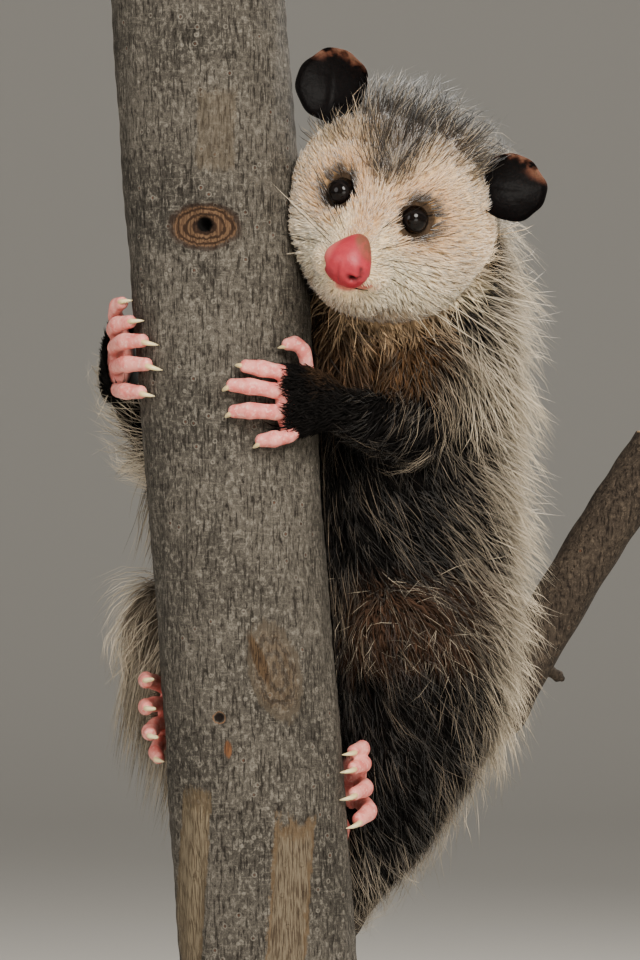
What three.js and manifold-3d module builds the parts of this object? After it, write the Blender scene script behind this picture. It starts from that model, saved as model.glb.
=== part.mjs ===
// A young Virginia opossum clinging to a slim trunk, life size, on a plain display stand.
// Millimetres, +Z up. The viewer stands on the -Y side, and +X is to the viewer's right.
// Left and right in the names are the animal's own. The origin is the middle of the base's underside.
import * as THREE from "three";
import { mergeVertices } from "three/addons/utils/BufferGeometryUtils.js";
import Module from "manifold-3d";

const wasm = await Module();
wasm.setup();

// Gap between pieces that touch, and how far a face may move when slivers are merged
const gap = 0.3;
const smoothing = 0.06;
const coatSmoothing = 0.13;
const coatGap = 0.4;

// Display stand
const baseRadius = 110;
const baseHeight = 12;
const baseBevel = 2;
const rodRadius = 5;
const rodSpread = 15;

// Trunk: an upright stem that leans a little to the viewer's left
const trunkRadius = 32;
const trunkLean = -0.0735;
const trunkX = -31.1;
const middleHeight = 320;
const trunkBottom = 46;
const trunkTop = 502;
const knotX = -41;
const knotHeight = 410;
const knotHole = 2.8;

// Head: where the point between the eyes lies, and how the head is turned, in degrees
const browPoint = [21, -37, 417.6];
const headRoll = 19;
const headPitch = 19.5;
const headYaw = 6.5;
const eyeRadius = 5.2;
const eyeSpacing = 27.4;
const lidThickness = 1.2;
const earThickness = 1.1;
const earCup = 5;

// Coat: guard hair as flat locks. Breadths and depths run from a lock's root to its tip. The section
// is a flat ridge, given across and up, and the room is what a grown lock takes up.
const lockSink = 3.2;
const lockThickness = 2.4;
const lockBreadths = [0, 0.9, 1, 0.62, 0];
const lockDepths = [0, 1, 1, 0.7, 0];
const lockSection = [[0, 1], [-0.87, -0.5], [0.87, -0.5]];
const lockRoom = [[-0.87, 1], [-0.87, -0.5], [0.87, -0.5], [0.87, 1]];
const lockWander = 0.14;
const rumpTaper = 60;

const vec = (p) => new THREE.Vector3(...p);
const radians = THREE.MathUtils.degToRad;
const mix = THREE.MathUtils.lerp;

// A seeded draw between -1 and 1, so that the coat comes out the same each time
function seeded(seed) {
  let state = seed;
  return () => {
    state = (state * 1664525 + 1013904223) % 4294967296;
    return state / 2147483648 - 1;
  };
}

// Where the trunk's middle lies at a height
const trunkMiddle = (z) => trunkX + trunkLean * (z - middleHeight);

// A point round the trunk: azimuth 0 faces the viewer, 90 is the viewer's right, 180 the far side
function roundTrunk(azimuth, distance, z) {
  const turn = radians(azimuth);
  return [trunkMiddle(z) + distance * Math.sin(turn), -distance * Math.cos(turn), z];
}

const awayFromTrunk = (azimuth) => [Math.sin(radians(azimuth)), -Math.cos(radians(azimuth)), 0];

// A closed geometry as a solid that can be joined and cut
function solid(geometry) {
  const bare = geometry.clone();
  for (const name of Object.keys(bare.attributes)) {
    if (name !== "position") bare.deleteAttribute(name);
  }
  const merged = mergeVertices(bare, 1e-3);
  const vertProperties = merged.attributes.position.array;
  const triVerts = new Uint32Array(merged.index.array);
  const made = new wasm.Manifold(new wasm.Mesh({ numProp: 3, vertProperties, triVerts }));
  if (made.volume() > 0) return made;
  for (let i = 0; i < triVerts.length; i += 3) {
    [triVerts[i + 1], triVerts[i + 2]] = [triVerts[i + 2], triVerts[i + 1]];
  }
  return new wasm.Manifold(new wasm.Mesh({ numProp: 3, vertProperties, triVerts }));
}

const join = (pieces) => pieces.reduce((whole, piece) => whole.add(piece));
const cut = (whole, cutters) => cutters.reduce((left, cutter) => left.subtract(cutter), whole);

// The largest closed surface of a solid
function largest(whole) {
  const parts = whole.decompose();
  return parts.reduce((a, b) => (b.volume() > a.volume() ? b : a));
}

// A smooth form through keys: each has a middle (at), half its breadth (wide), half its depth (deep)
// and the way its depth faces (out). An end is round unless it is asked for flat.
function loft(keys, { around = 12, rings = 6, caps = 2, out = [0, 1, 0], blunt = 0.9 } = {}) {
  const middle = new THREE.CatmullRomCurve3(keys.map((k) => vec(k.at)));
  const sizes = new THREE.CatmullRomCurve3(keys.map((k) => vec([k.wide, k.deep ?? k.wide, 0])));
  const faces = new THREE.CatmullRomCurve3(keys.map((k) => vec(k.out ?? out)));
  const length = middle.getLength();

  function frameAt(u) {
    const inside = THREE.MathUtils.clamp(u, 0, 1);
    const along = middle.getTangent(inside);
    const at = middle.getPoint(inside).addScaledVector(along, (u - inside) * length);
    const outward = faces.getPoint(inside);
    outward.addScaledVector(along, -outward.dot(along)).normalize();
    const side = new THREE.Vector3().crossVectors(along, outward);
    const size = sizes.getPoint(inside);
    size.multiplyScalar(Math.max(0.2, 1 - (Math.max(0, u - 1) * length) / rumpTaper));
    return { at, along, outward, side, wide: size.x, deep: size.y };
  }

  // A point of the surface raised by push
  function surface(u, angle, push = 0) {
    const f = frameAt(u);
    const facing = f.side.clone().multiplyScalar(Math.cos(angle) / f.wide);
    facing.addScaledVector(f.outward, Math.sin(angle) / f.deep).normalize();
    const at = f.at.clone().addScaledVector(f.side, Math.cos(angle) * f.wide);
    at.addScaledVector(f.outward, Math.sin(angle) * f.deep).addScaledVector(facing, push);
    return { at, facing };
  }

  function body({ grow = 0, from = 0, to = 1, flat = [false, false], steps = rings } = {}) {
    const start = from - (flat[0] ? grow / length : 0);
    const end = to + (flat[1] ? grow / length : 0);
    const rows = steps + 2 * caps;
    const geometry = new THREE.SphereGeometry(1, around, rows);
    const position = geometry.attributes.position;
    for (let i = 0; i <= rows; i++) {
      const atStart = i < caps;
      const atEnd = i > rows - caps;
      const f = frameAt(mix(start, end, THREE.MathUtils.clamp((i - caps) / steps, 0, 1)));
      const turn = (atStart ? i / caps : atEnd ? (rows - i) / caps : 1) * (Math.PI / 2);
      const isFlat = (atStart && flat[0]) || (atEnd && flat[1]);
      const reach = isFlat ? 0 : Math.cos(turn) * (Math.min(f.wide, f.deep) * blunt + grow);
      const round = Math.sin(turn);
      for (let j = 0; j <= around; j++) {
        const angle = (j / around) * Math.PI * 2;
        const at = f.at.clone().addScaledVector(f.along, atStart ? -reach : atEnd ? reach : 0);
        at.addScaledVector(f.side, Math.cos(angle) * (f.wide + grow) * round);
        at.addScaledVector(f.outward, Math.sin(angle) * (f.deep + grow) * round);
        position.setXYZ(i * (around + 1) + j, at.x, at.y, at.z);
      }
    }
    return solid(geometry);
  }

  return { surface, body, length };
}

// A lock rooted on a form, which lies along the form, bends back to it, and hangs by its share of fall
function lock(form, { u, angle, length, width, lift, drift, lie, fall, hang }, grow = 0) {
  const steps = lockBreadths.length - 1;
  const section = grow > 0 ? lockRoom : lockSection;
  const blade = new THREE.SphereGeometry(1, section.length, steps);
  const position = blade.attributes.position;
  const pointAt = (s) => {
    const rise = -lockSink + (lift + lockSink) * Math.sin((s * Math.PI) / 2);
    const lain = form.surface(u + (s * lie * length) / form.length, angle + drift * s, rise);
    if (fall === 0) return lain;
    const root = form.surface(u, angle, rise);
    lain.at.lerp(root.at.addScaledVector(vec(hang).normalize(), s * length), fall);
    return lain;
  };
  const outOfEnd = (i) => {
    const inner = pointAt(i === 0 ? 1 / steps : 1 - 1 / steps).at;
    return pointAt(i / steps).at.sub(inner).normalize();
  };
  for (let i = 0; i <= steps; i++) {
    const s = i / steps;
    const { at, facing } = pointAt(s);
    const along = pointAt(s + 0.05).at.sub(pointAt(s - 0.05).at).normalize();
    const side = new THREE.Vector3().crossVectors(facing, along).normalize();
    const up = new THREE.Vector3().crossVectors(along, side);
    const half = (width / 2) * lockBreadths[i];
    const thick = (lockThickness / 2) * lockDepths[i];
    for (let j = 0; j <= section.length; j++) {
      const [across, rise] = section[j % section.length];
      const edge = at.clone();
      if (i === 0 || i === steps) {
        edge.addScaledVector(outOfEnd(i), 2 * grow);
      } else {
        edge.addScaledVector(side, across * half + Math.sign(across) * grow);
        edge.addScaledVector(up, rise * thick + Math.sign(rise) * grow);
      }
      position.setXYZ(i * (section.length + 1) + j, edge.x, edge.y, edge.z);
    }
  }
  return solid(blade);
}

// Rows of locks over part of a form, as they are or grown by the gap.
// A lock that would reach a clearOf solid is left out.
function coat(form, plan, clearOf = [], grow = 0) {
  const draw = seeded(plan.seed);
  const locks = [];
  plan.rows.forEach((u, row) => {
    for (let k = 0; k < plan.columns; k++) {
      const share = (k + 0.25 + (row % 2) / 2 + lockWander * draw()) / plan.columns;
      const angle = radians(mix(plan.from, plan.to, share));
      const spot = {
        u: u + 0.2 * lockWander * draw() * (plan.length / form.length),
        angle,
        length: plan.length * (1 + lockWander * draw()),
        width: plan.width * (1 + lockWander * draw()),
        lift: plan.lift * (1 + lockWander * draw()),
        drift: plan.drift * Math.cos(angle),
        lie: plan.lie ?? 1,
        fall: plan.fall ?? 0,
        hang: plan.hang,
      };
      const tested = clearOf.length > 0 ? lock(form, spot, gap) : null;
      if (clearOf.some((near) => tested.intersect(near).volume() > 0)) continue;
      locks.push(lock(form, spot, grow));
    }
  });
  return join(locks);
}

// Stand and perch

function standBase() {
  const profile = [
    [0, 0],
    [baseRadius - baseBevel, 0],
    [baseRadius, baseBevel],
    [baseRadius, baseHeight - baseBevel],
    [baseRadius - baseBevel, baseHeight],
    [0, baseHeight],
  ];
  const disc = new THREE.LatheGeometry(profile.map(([r, z]) => new THREE.Vector2(r, z)), 48);
  return solid(disc.rotateX(Math.PI / 2));
}

function standRod(side) {
  const height = trunkBottom - baseHeight - 2 * gap;
  const rod = new THREE.CylinderGeometry(rodRadius, rodRadius, height, 20);
  rod.rotateX(Math.PI / 2);
  rod.translate(trunkMiddle(trunkBottom) + side * rodSpread, 0, baseHeight + gap + height / 2);
  return solid(rod);
}

function trunkStem(grow = 0) {
  const height = trunkTop - trunkBottom;
  const stem = new THREE.CylinderGeometry(trunkRadius + grow, trunkRadius + grow, height, 36);
  stem.rotateX(Math.PI / 2);
  stem.translate(0, 0, (trunkTop + trunkBottom) / 2);
  const position = stem.attributes.position;
  for (let i = 0; i < position.count; i++) {
    position.setX(i, position.getX(i) + trunkMiddle(position.getZ(i)));
  }
  return solid(stem);
}

// The old branch scar on the viewer's side: a shallow dish with a hole in its middle
function knot() {
  const front = -Math.sqrt(trunkRadius ** 2 - (knotX - trunkMiddle(knotHeight)) ** 2);
  const dish = new THREE.SphereGeometry(1, 18, 10);
  dish.scale(11, 2.2, 7);
  dish.translate(knotX, front, knotHeight);
  const hole = new THREE.SphereGeometry(1, 12, 8);
  hole.scale(knotHole, 6, knotHole);
  hole.translate(knotX, front, knotHeight);
  return [solid(dish), solid(hole)];
}

// The side limb that grows from the trunk's far side and passes behind the hips, cut off short
const limbForm = loft(
  [
    { at: [-14, 4, 124], wide: 13 },
    { at: [-4, 33, 147], wide: 12.5 },
    { at: [12, 62, 171], wide: 12 },
    { at: [36, 82, 203], wide: 11.4 },
    { at: [67, 90, 238], wide: 11 },
    { at: [103, 101, 295], wide: 10.8 },
    { at: [128, 109, 333], wide: 10.6 },
  ],
  { around: 16, rings: 12, caps: 1, out: [0, 1, 0.3] },
);

// Body: from the nape to the rump, the back faces away from the trunk
const bodyForm = loft(
  [
    { at: [33, -8, 424], wide: 25, deep: 25, out: awayFromTrunk(120) },
    { at: [34, 6, 406], wide: 27.5, deep: 27.5, out: awayFromTrunk(115) },
    { at: [34, 20, 386], wide: 33, deep: 33, out: awayFromTrunk(115) },
    { at: [32, 31, 361], wide: 38, deep: 37, out: awayFromTrunk(118) },
    { at: [30, 36, 334], wide: 38.5, deep: 38, out: awayFromTrunk(122) },
    { at: [28, 40, 306], wide: 40, deep: 39, out: awayFromTrunk(128) },
    { at: [26, 45, 277], wide: 44, deep: 40.5, out: awayFromTrunk(136) },
    { at: [21, 50, 248], wide: 46, deep: 40.5, out: awayFromTrunk(144) },
    { at: [15, 53, 218], wide: 40, deep: 35, out: awayFromTrunk(150) },
    { at: [10, 52, 193], wide: 28, deep: 25, out: awayFromTrunk(155) },
    { at: [3, 48, 175], wide: 17, deep: 15, out: awayFromTrunk(160) },
  ],
  { around: 20, rings: 20, caps: 3 },
);
const neckEnd = 0.2;

// Head, in its own frame: x to the animal's left, y back from the nose, z up, from the brow point
const headAxes = (() => {
  const right = vec([Math.cos(radians(headRoll)), 0, -Math.sin(radians(headRoll))]);
  const up = vec([Math.sin(radians(headRoll)), 0, Math.cos(radians(headRoll))]);
  const far = vec([0, 1, 0]);
  const pitch = radians(headPitch);
  const yaw = radians(headYaw);
  const back = far.clone().multiplyScalar(Math.cos(pitch)).addScaledVector(up, Math.sin(pitch));
  const z = up.clone().multiplyScalar(Math.cos(pitch)).addScaledVector(far, -Math.sin(pitch));
  const x = right.clone().multiplyScalar(Math.cos(yaw)).addScaledVector(back, -Math.sin(yaw));
  const y = back.clone().multiplyScalar(Math.cos(yaw)).addScaledVector(right, Math.sin(yaw));
  return { x, y, z };
})();
const headFrame = new THREE.Matrix4().makeBasis(headAxes.x, headAxes.y, headAxes.z);
headFrame.setPosition(vec(browPoint));
const inHead = (p) => vec(p).applyMatrix4(headFrame).toArray();
const headUp = headAxes.z.toArray();

const headForm = loft(
  [
    { at: [0, -33, -14], wide: 6.6, deep: 6 },
    { at: [0, -29, -13.6], wide: 9, deep: 8.6 },
    { at: [0, -21, -12.4], wide: 11, deep: 11 },
    { at: [0, -12, -12], wide: 14, deep: 15.5 },
    { at: [0, -3, -12], wide: 21, deep: 23.5 },
    { at: [0.5, 6, -11.5], wide: 31, deep: 33 },
    { at: [1.5, 16, -9.5], wide: 37, deep: 39 },
    { at: [2, 27, -5.5], wide: 38.5, deep: 40 },
    { at: [2.5, 37, 0], wide: 33, deep: 32.5 },
    { at: [2.5, 45, 3], wide: 21, deep: 20 },
  ].map((k) => ({ ...k, at: inHead(k.at), out: headUp })),
  { around: 20, rings: 13, caps: 3, blunt: 0.5 },
);

function eyeball(side, grow = 0) {
  const ball = new THREE.SphereGeometry(eyeRadius + grow, 12, 8);
  ball.translate((side * eyeSpacing) / 2, -2.5, 0);
  return solid(ball.applyMatrix4(headFrame));
}

// A lid: an almond ring raised round the eye
function lid(side) {
  const ring = new THREE.TorusGeometry(eyeRadius * 0.93, lidThickness, 4, 12);
  ring.scale(1.06, 0.88, 1.3);
  const facing = vec([side * 0.42, -0.88, 0.18]).normalize();
  ring.applyQuaternion(new THREE.Quaternion().setFromUnitVectors(vec([0, 0, 1]), facing));
  ring.translate((side * eyeSpacing) / 2 + facing.x * 2.6, -2.5 + facing.y * 2.6, facing.z * 2.6);
  return solid(ring.applyMatrix4(headFrame));
}

// The mouth runs from under the nose round the muzzle to its corner below the eye
const mouthLine = [
  [0.02, -90],
  [0.07, -62],
  [0.15, -48],
  [0.24, -40],
  [0.32, -36],
];

function alongMouth(side, push, size) {
  const keys = mouthLine.map(([u, angle]) => {
    const turn = radians(side > 0 ? angle : -180 - angle);
    const { at, facing } = headForm.surface(u, turn, push);
    return { at: at.toArray(), wide: size.wide, deep: size.deep, out: facing.toArray() };
  });
  return loft(keys, { around: 5, rings: 6, caps: 1 }).body();
}

function noseForm(grow = 0) {
  const pad = new THREE.SphereGeometry(1, 12, 9);
  pad.scale(8.2 + grow, 6 + grow, 7.6 + grow);
  pad.translate(0, -34.5, -12.8);
  return solid(pad.applyMatrix4(headFrame));
}

function nostril(side) {
  const pit = new THREE.SphereGeometry(1, 7, 5);
  pit.scale(1.5, 2.6, 1.2);
  pit.rotateZ(side * 0.5);
  pit.translate(side * 4.3, -39, -12.6);
  const slit = new THREE.SphereGeometry(1, 7, 5);
  slit.scale(1.7, 2, 0.6);
  slit.rotateY(side * -0.7);
  slit.translate(side * 6, -37.6, -11.4);
  return [solid(pit.applyMatrix4(headFrame)), solid(slit.applyMatrix4(headFrame))];
}

// A thin cupped ear: base and tip are the ends of its length, and it opens towards facing
function ear({ base, tip, width, facing }) {
  const root = vec(base);
  const up = vec(tip).sub(root);
  const height = up.length();
  up.normalize();
  const front = vec(facing);
  front.addScaledVector(up, -front.dot(up)).normalize();
  const side = new THREE.Vector3().crossVectors(up, front);
  const around = 16;
  const rows = 10;
  const shell = new THREE.SphereGeometry(1, around, rows);
  const position = shell.attributes.position;
  for (let i = 0; i <= rows; i++) {
    const polar = (i / rows) * Math.PI;
    const spread = Math.sin(polar);
    const half = (earThickness / 2) * Math.cos(polar);
    for (let j = 0; j <= around; j++) {
      const turn = (j / around) * Math.PI * 2;
      const rise = spread * Math.sin(turn);
      const narrow = 1 - 0.3 * Math.max(0, -rise) ** 2;
      const at = root.clone().addScaledVector(up, (height / 2) * (1 + rise));
      at.addScaledVector(side, (width / 2) * spread * Math.cos(turn) * narrow);
      at.addScaledVector(front, half + earCup * (spread ** 2 - 0.6) - 2 * Math.max(0, rise) ** 2);
      position.setXYZ(i * (around + 1) + j, at.x, at.y, at.z);
    }
  }
  const fromRoot = (rise, ahead) =>
    root.clone().addScaledVector(up, rise).addScaledVector(front, ahead).toArray();
  const stalk = loft(
    [
      { at: fromRoot(-5, -4), wide: 7, deep: 4 },
      { at: fromRoot(3, -1.5), wide: 6, deep: 2.5 },
      { at: fromRoot(8, -2.4), wide: 4, deep: 0.8 },
    ],
    { around: 8, rings: 3, caps: 1, out: front.toArray() },
  );
  return solid(shell).add(stalk.body());
}

const leftEar = {
  base: [53, -19, 421.5],
  tip: [80.5, -15, 425.5],
  width: 25,
  facing: [0.15, -0.96, 0.2],
};
const rightEar = {
  base: [7.5, -19, 448],
  tip: [2, -15, 475],
  width: 26.5,
  facing: [-0.2, -0.96, 0.1],
};

// Limbs: each joint is a place, and each segment runs between two of them
const joints = {
  left: {
    shoulder: [40, 4, 366],
    elbow: [32, -12, 337],
    wrist: roundTrunk(57, 43.5, 347),
    hip: [42, 36, 238],
    knee: [29, 6, 266],
    ankle: roundTrunk(128, 47, 227),
  },
  right: {
    shoulder: [-4, 56, 357],
    elbow: [-51, 40, 326],
    wrist: roundTrunk(-121, 44, 355),
    hip: [-12, 62, 244],
    knee: [-55, 49, 268],
    ankle: roundTrunk(201, 47, 237),
  },
};

function segment(from, to, sizes, bend, out) {
  const start = vec(from);
  const end = vec(to);
  const keys = sizes.map(([wide, deep], i) => {
    const s = i / (sizes.length - 1);
    const at = start.clone().lerp(end, s).addScaledVector(vec(bend), Math.sin(s * Math.PI));
    return { at: at.toArray(), wide, deep };
  });
  return loft(keys, { around: 12, rings: 5, caps: 2, out });
}

function limbsOf(side) {
  const j = joints[side];
  const left = side === "left";
  const armOut = left ? [0.3, -0.9, 0] : [-0.2, 0.9, 0.3];
  const legOut = left ? [0.6, -0.6, 0.2] : [-0.6, 0.5, 0.3];
  const none = [0, 0, 0];
  return {
    upperArm: segment(j.shoulder, j.elbow, [[16, 15], [14, 13], [11.5, 11]], none, armOut),
    forearm: segment(j.elbow, j.wrist, [[11, 10.5], [10.5, 9.5], [7.5, 7]], none, armOut),
    thigh: segment(j.hip, j.knee, [[25, 22], [23, 21], [18, 17]], none, legOut),
    shin: segment(j.knee, j.ankle, [[15, 14], [13, 12.5], [9, 8]], none, legOut),
  };
}

// Paws: places are given as azimuth round the trunk, height over the bark, and height
const pawPlace = ([azimuth, over, z]) => roundTrunk(azimuth, trunkRadius + over, z);

function digit({ path, claw, size = 2.8 }, grow) {
  const keys = path.map((p, i) => ({
    at: pawPlace(p),
    wide: size * [1.05, 1, 1.06, 0.9][i],
    deep: size * [1, 1, 0.95, 0.85][i],
    out: awayFromTrunk(p[0]),
  }));
  const finger = loft(keys, { around: 6, rings: 3, caps: 1 }).body({ grow });
  if (!claw) return [finger];
  const tip = path[path.length - 1];
  const root = [mix(tip[0], claw[0], -0.2), tip[1] + 0.9, mix(tip[2], claw[2], -0.2)];
  const crown = [mix(tip[0], claw[0], 0.55), tip[1] + 0.6, mix(tip[2], claw[2], 0.5)];
  const clawKeys = [
    { at: pawPlace(root), wide: 1.2, deep: 1.3, out: awayFromTrunk(root[0]) },
    { at: pawPlace(crown), wide: 0.95, deep: 1.1, out: awayFromTrunk(crown[0]) },
    { at: pawPlace(claw), wide: 0.3, deep: 0.35, out: awayFromTrunk(claw[0]) },
  ];
  return [finger, loft(clawKeys, { around: 4, rings: 2, caps: 1 }).body({ grow })];
}

function paw({ pad, digits }, grow = 0) {
  const keys = pad.map((p) => ({
    at: pawPlace(p.place),
    wide: p.wide,
    deep: p.deep,
    out: awayFromTrunk(p.place[0]),
  }));
  const palm = loft(keys, { around: 10, rings: 4, caps: 2 }).body({ grow });
  return join([palm, ...digits.flatMap((d) => digit(d, grow))]);
}

const leftHand = {
  pad: [
    { place: [57, 11, 347], wide: 7.6, deep: 6.6 },
    { place: [46, 7.5, 348], wide: 10.5, deep: 5.6 },
    { place: [34, 6, 348], wide: 11.5, deep: 4.4 },
  ],
  digits: [
    {
      path: [[50, 6.5, 357], [47, 7, 366], [43.5, 5.5, 368.4], [40, 3.8, 368.2]],
      claw: [36.8, 0.6, 367],
      size: 2.6,
    },
    {
      path: [[40, 6, 355.5], [31, 7, 358], [21, 6.4, 359.4], [12.5, 3.6, 360.3]],
      claw: [7, 0.6, 360.7],
    },
    {
      path: [[36, 6, 350], [26, 7.2, 351.6], [14, 6.6, 353], [4, 3.6, 353.6]],
      claw: [-2, 0.6, 351.7],
    },
    {
      path: [[36, 6, 343.5], [26, 7.2, 344], [13, 6.6, 344.5], [4, 3.6, 344.3]],
      claw: [-1.5, 0.6, 342.3],
    },
    {
      path: [[40, 6, 338.5], [33, 7, 336], [25, 6.4, 334.6], [18.5, 3.6, 334]],
      claw: [14.5, 0.6, 331.5],
    },
  ],
};

const rightHand = {
  pad: [
    { place: [-121, 12, 355], wide: 7.6, deep: 6.6 },
    { place: [-108, 7.5, 361], wide: 11, deep: 5.6 },
    { place: [-95, 6, 365], wide: 13, deep: 4.4 },
  ],
  digits: [
    {
      path: [[-104, 6, 371], [-97, 6.6, 379], [-90, 5.6, 382.4], [-82, 3.6, 383.6]],
      claw: [-75, 0.6, 384.4],
      size: 2.7,
    },
    {
      path: [[-98, 6, 370], [-90, 7, 374], [-78, 6.6, 375.6], [-66, 3.6, 376.6]],
      claw: [-58, 0.6, 376.9],
    },
    {
      path: [[-96, 6, 365], [-84, 7.2, 367.5], [-68, 6.6, 369.4], [-53, 3.6, 369.7]],
      claw: [-45, 0.6, 368.1],
    },
    {
      path: [[-96, 6, 360], [-83, 7.2, 360.5], [-66, 6.6, 361.4], [-51, 3.6, 361.2]],
      claw: [-43, 0.6, 359.2],
    },
    {
      path: [[-98, 6, 355], [-86, 7, 352.6], [-72, 6.4, 351.8], [-59, 3.6, 351.4]],
      claw: [-52, 0.6, 349.9],
    },
  ],
};

const leftFoot = {
  pad: [
    { place: [146, 10, 222], wide: 7.5, deep: 7 },
    { place: [128, 7.5, 215], wide: 9, deep: 6 },
    { place: [111, 6, 211.5], wide: 11.5, deep: 4.6 },
  ],
  digits: [
    {
      path: [[115, 6, 219], [104, 7.6, 222], [94, 7.4, 223.2], [85, 4, 222.4]],
      claw: [77, 0.6, 221.4],
    },
    {
      path: [[113, 6, 214], [102, 7.6, 217], [91, 7.4, 217.8], [80, 4, 216.6]],
      claw: [70, 0.6, 215.2],
    },
    {
      path: [[113, 6, 209], [102, 7.6, 209.6], [90, 7.4, 209], [77, 4, 207.4]],
      claw: [66, 0.6, 205.5],
    },
    {
      path: [[115, 6, 205], [105, 7.8, 202.6], [94, 8, 200.6], [83, 4.4, 198]],
      claw: [74, 0.6, 195.1],
      size: 3.1,
    },
    { path: [[134, 7, 210], [133, 8, 201], [131, 7, 194], [129, 4.6, 188]], size: 3.4 },
  ],
};

const rightFoot = {
  pad: [
    { place: [196, 10, 233], wide: 7.5, deep: 7 },
    { place: [214, 7.5, 235], wide: 9, deep: 6 },
    { place: [231, 6, 237], wide: 11.5, deep: 4.6 },
  ],
  digits: [
    {
      path: [[228, 6, 243], [240, 7.6, 246.5], [252, 7, 247.6], [263, 5, 247.4]],
      claw: [272, 3.6, 248.4],
    },
    {
      path: [[230, 6, 238.5], [242, 7.6, 238.6], [254, 7.4, 238], [264, 5.4, 237.8]],
      claw: [274, 4.4, 237.6],
    },
    {
      path: [[230, 6, 233.5], [242, 7.6, 231], [253, 7, 229], [263, 5, 228.3]],
      claw: [272, 3.6, 227.1],
    },
    {
      path: [[228, 6, 229], [238, 7.6, 224.6], [247, 6.6, 221.4], [254, 4, 219.6]],
      claw: [262, 0.8, 218.4],
    },
    { path: [[206, 7, 228], [208, 8, 219], [210, 7, 212], [212, 4.6, 206]], size: 3.4 },
  ],
};

// Tail: from the rump round the trunk's far side, then once round it and down
const tailForm = loft(
  [
    { at: [4, 50, 186], wide: 11.5 },
    { at: [-7, 46.5, 168], wide: 9.6 },
    { at: roundTrunk(188, 41.4, 154), wide: 8.4 },
    { at: roundTrunk(216, 40, 143), wide: 7.4 },
    { at: roundTrunk(246, 39.2, 133), wide: 6.8 },
    { at: roundTrunk(276, 38.7, 124), wide: 6.3 },
    { at: roundTrunk(306, 38.2, 116), wide: 5.8 },
    { at: roundTrunk(336, 37.7, 108), wide: 5.3 },
    { at: roundTrunk(366, 37.2, 100), wide: 4.8 },
    { at: roundTrunk(396, 36.6, 92), wide: 4.2 },
    { at: roundTrunk(426, 36, 84), wide: 3.6 },
    { at: roundTrunk(456, 35.4, 76), wide: 3 },
    { at: roundTrunk(484, 34.7, 69), wide: 2.2 },
  ],
  { around: 9, rings: 6, caps: 1, out: [0.02, 0.05, 1] },
);
const tailCuts = [0, 0.22, 0.4, 0.6, 0.8, 1];

// Coat plans: where the rows start along a form, the stretch round it in degrees, and the locks' sizes
const steadyRows = (first, last, count) =>
  Array.from({ length: count }, (_, i) => mix(first, last, i / (count - 1)));
const torsoPlan = {
  seed: 11,
  rows: steadyRows(neckEnd + 0.012, 0.985, 10),
  columns: 9,
  from: -58,
  to: 220,
  length: 41,
  width: 19,
  lift: 7.5,
  drift: 0.22,
};
const neckPlan = {
  seed: 5,
  rows: steadyRows(0.06, 0.135, 2),
  columns: 7,
  from: -50,
  to: 200,
  length: 33,
  width: 15,
  lift: 6.5,
  drift: 0.1,
};
const crownPlan = {
  seed: 3,
  rows: steadyRows(0.56, 0.78, 2),
  columns: 6,
  from: 28,
  to: 158,
  length: 17,
  width: 9,
  lift: 4.5,
  drift: 0,
};
const thighPlans = {
  left: {
    seed: 7,
    rows: [1, 0.72, 0.44],
    columns: 3,
    from: 35,
    to: 205,
    length: 32,
    width: 14,
    lift: 4.5,
    drift: 0,
    lie: -0.8,
    fall: 0.5,
    hang: [0.25, -0.05, -1],
  },
  right: {
    seed: 8,
    rows: [1, 0.72, 0.44],
    columns: 3,
    from: -30,
    to: 105,
    length: 42,
    width: 14,
    lift: 5,
    drift: 0,
    lie: -0.5,
    fall: 0.85,
    hang: [-0.25, 0.05, -1],
  },
};

// Assembly
const trunkGrown = trunkStem(gap);
const limbGrown = limbForm.body({ grow: gap });
const noseGrown = noseForm(gap);
const headBlank = headForm.body();
const headGrown = headForm.body({ grow: gap });

const colours = {
  coat: { color: 0x55504a, roughness: 0.95 },
  pale: { color: 0xe2dccf, roughness: 0.95 },
  dark: { color: 0x1d1a18, roughness: 0.95 },
  skin: { color: 0xd98f86, roughness: 0.6 },
  tail: { color: 0xb79c90, roughness: 0.7 },
  ear: { color: 0x18151a, roughness: 0.5 },
  eye: { color: 0x050505, roughness: 0.1 },
  bark: { color: 0x8a8479, roughness: 0.95 },
  base: { color: 0x2b2b2d, roughness: 0.5 },
  rod: { color: 0x9a9a9c, roughness: 0.35, metalness: 0.9 },
};

const opossum = new THREE.Group();

function place(name, made, colour, tolerance = smoothing) {
  const { vertProperties, triVerts } = largest(made).simplify(tolerance).getMesh();
  const geometry = new THREE.BufferGeometry();
  geometry.setAttribute("position", new THREE.BufferAttribute(vertProperties, 3));
  geometry.setIndex(new THREE.BufferAttribute(triVerts, 1));
  const mesh = new THREE.Mesh(geometry, new THREE.MeshStandardMaterial(colours[colour]));
  mesh.name = name;
  opossum.add(mesh);
}

place("stand_base", standBase(), "base");
place("stand_rod_1", standRod(-1), "rod");
place("stand_rod_2", standRod(1), "rod");
place("perch_trunk", cut(trunkStem(), knot()), "bark");
place("perch_limb", cut(limbForm.body({ flat: [false, true] }), [trunkGrown]), "bark");

const paws = {
  left: { hand: leftHand, foot: leftFoot },
  right: { hand: rightHand, foot: rightFoot },
};
const grown = (form) => form.body({ grow: gap });
const neckSpan = { from: 0, to: neckEnd - gap / bodyForm.length, flat: [true, true], steps: 4 };
const torsoSpan = { from: neckEnd, to: 1, flat: [true, false], steps: 16 };
const bodyGrown = join([neckSpan, torsoSpan].map((span) => bodyForm.body({ ...span, grow: gap })));

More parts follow.
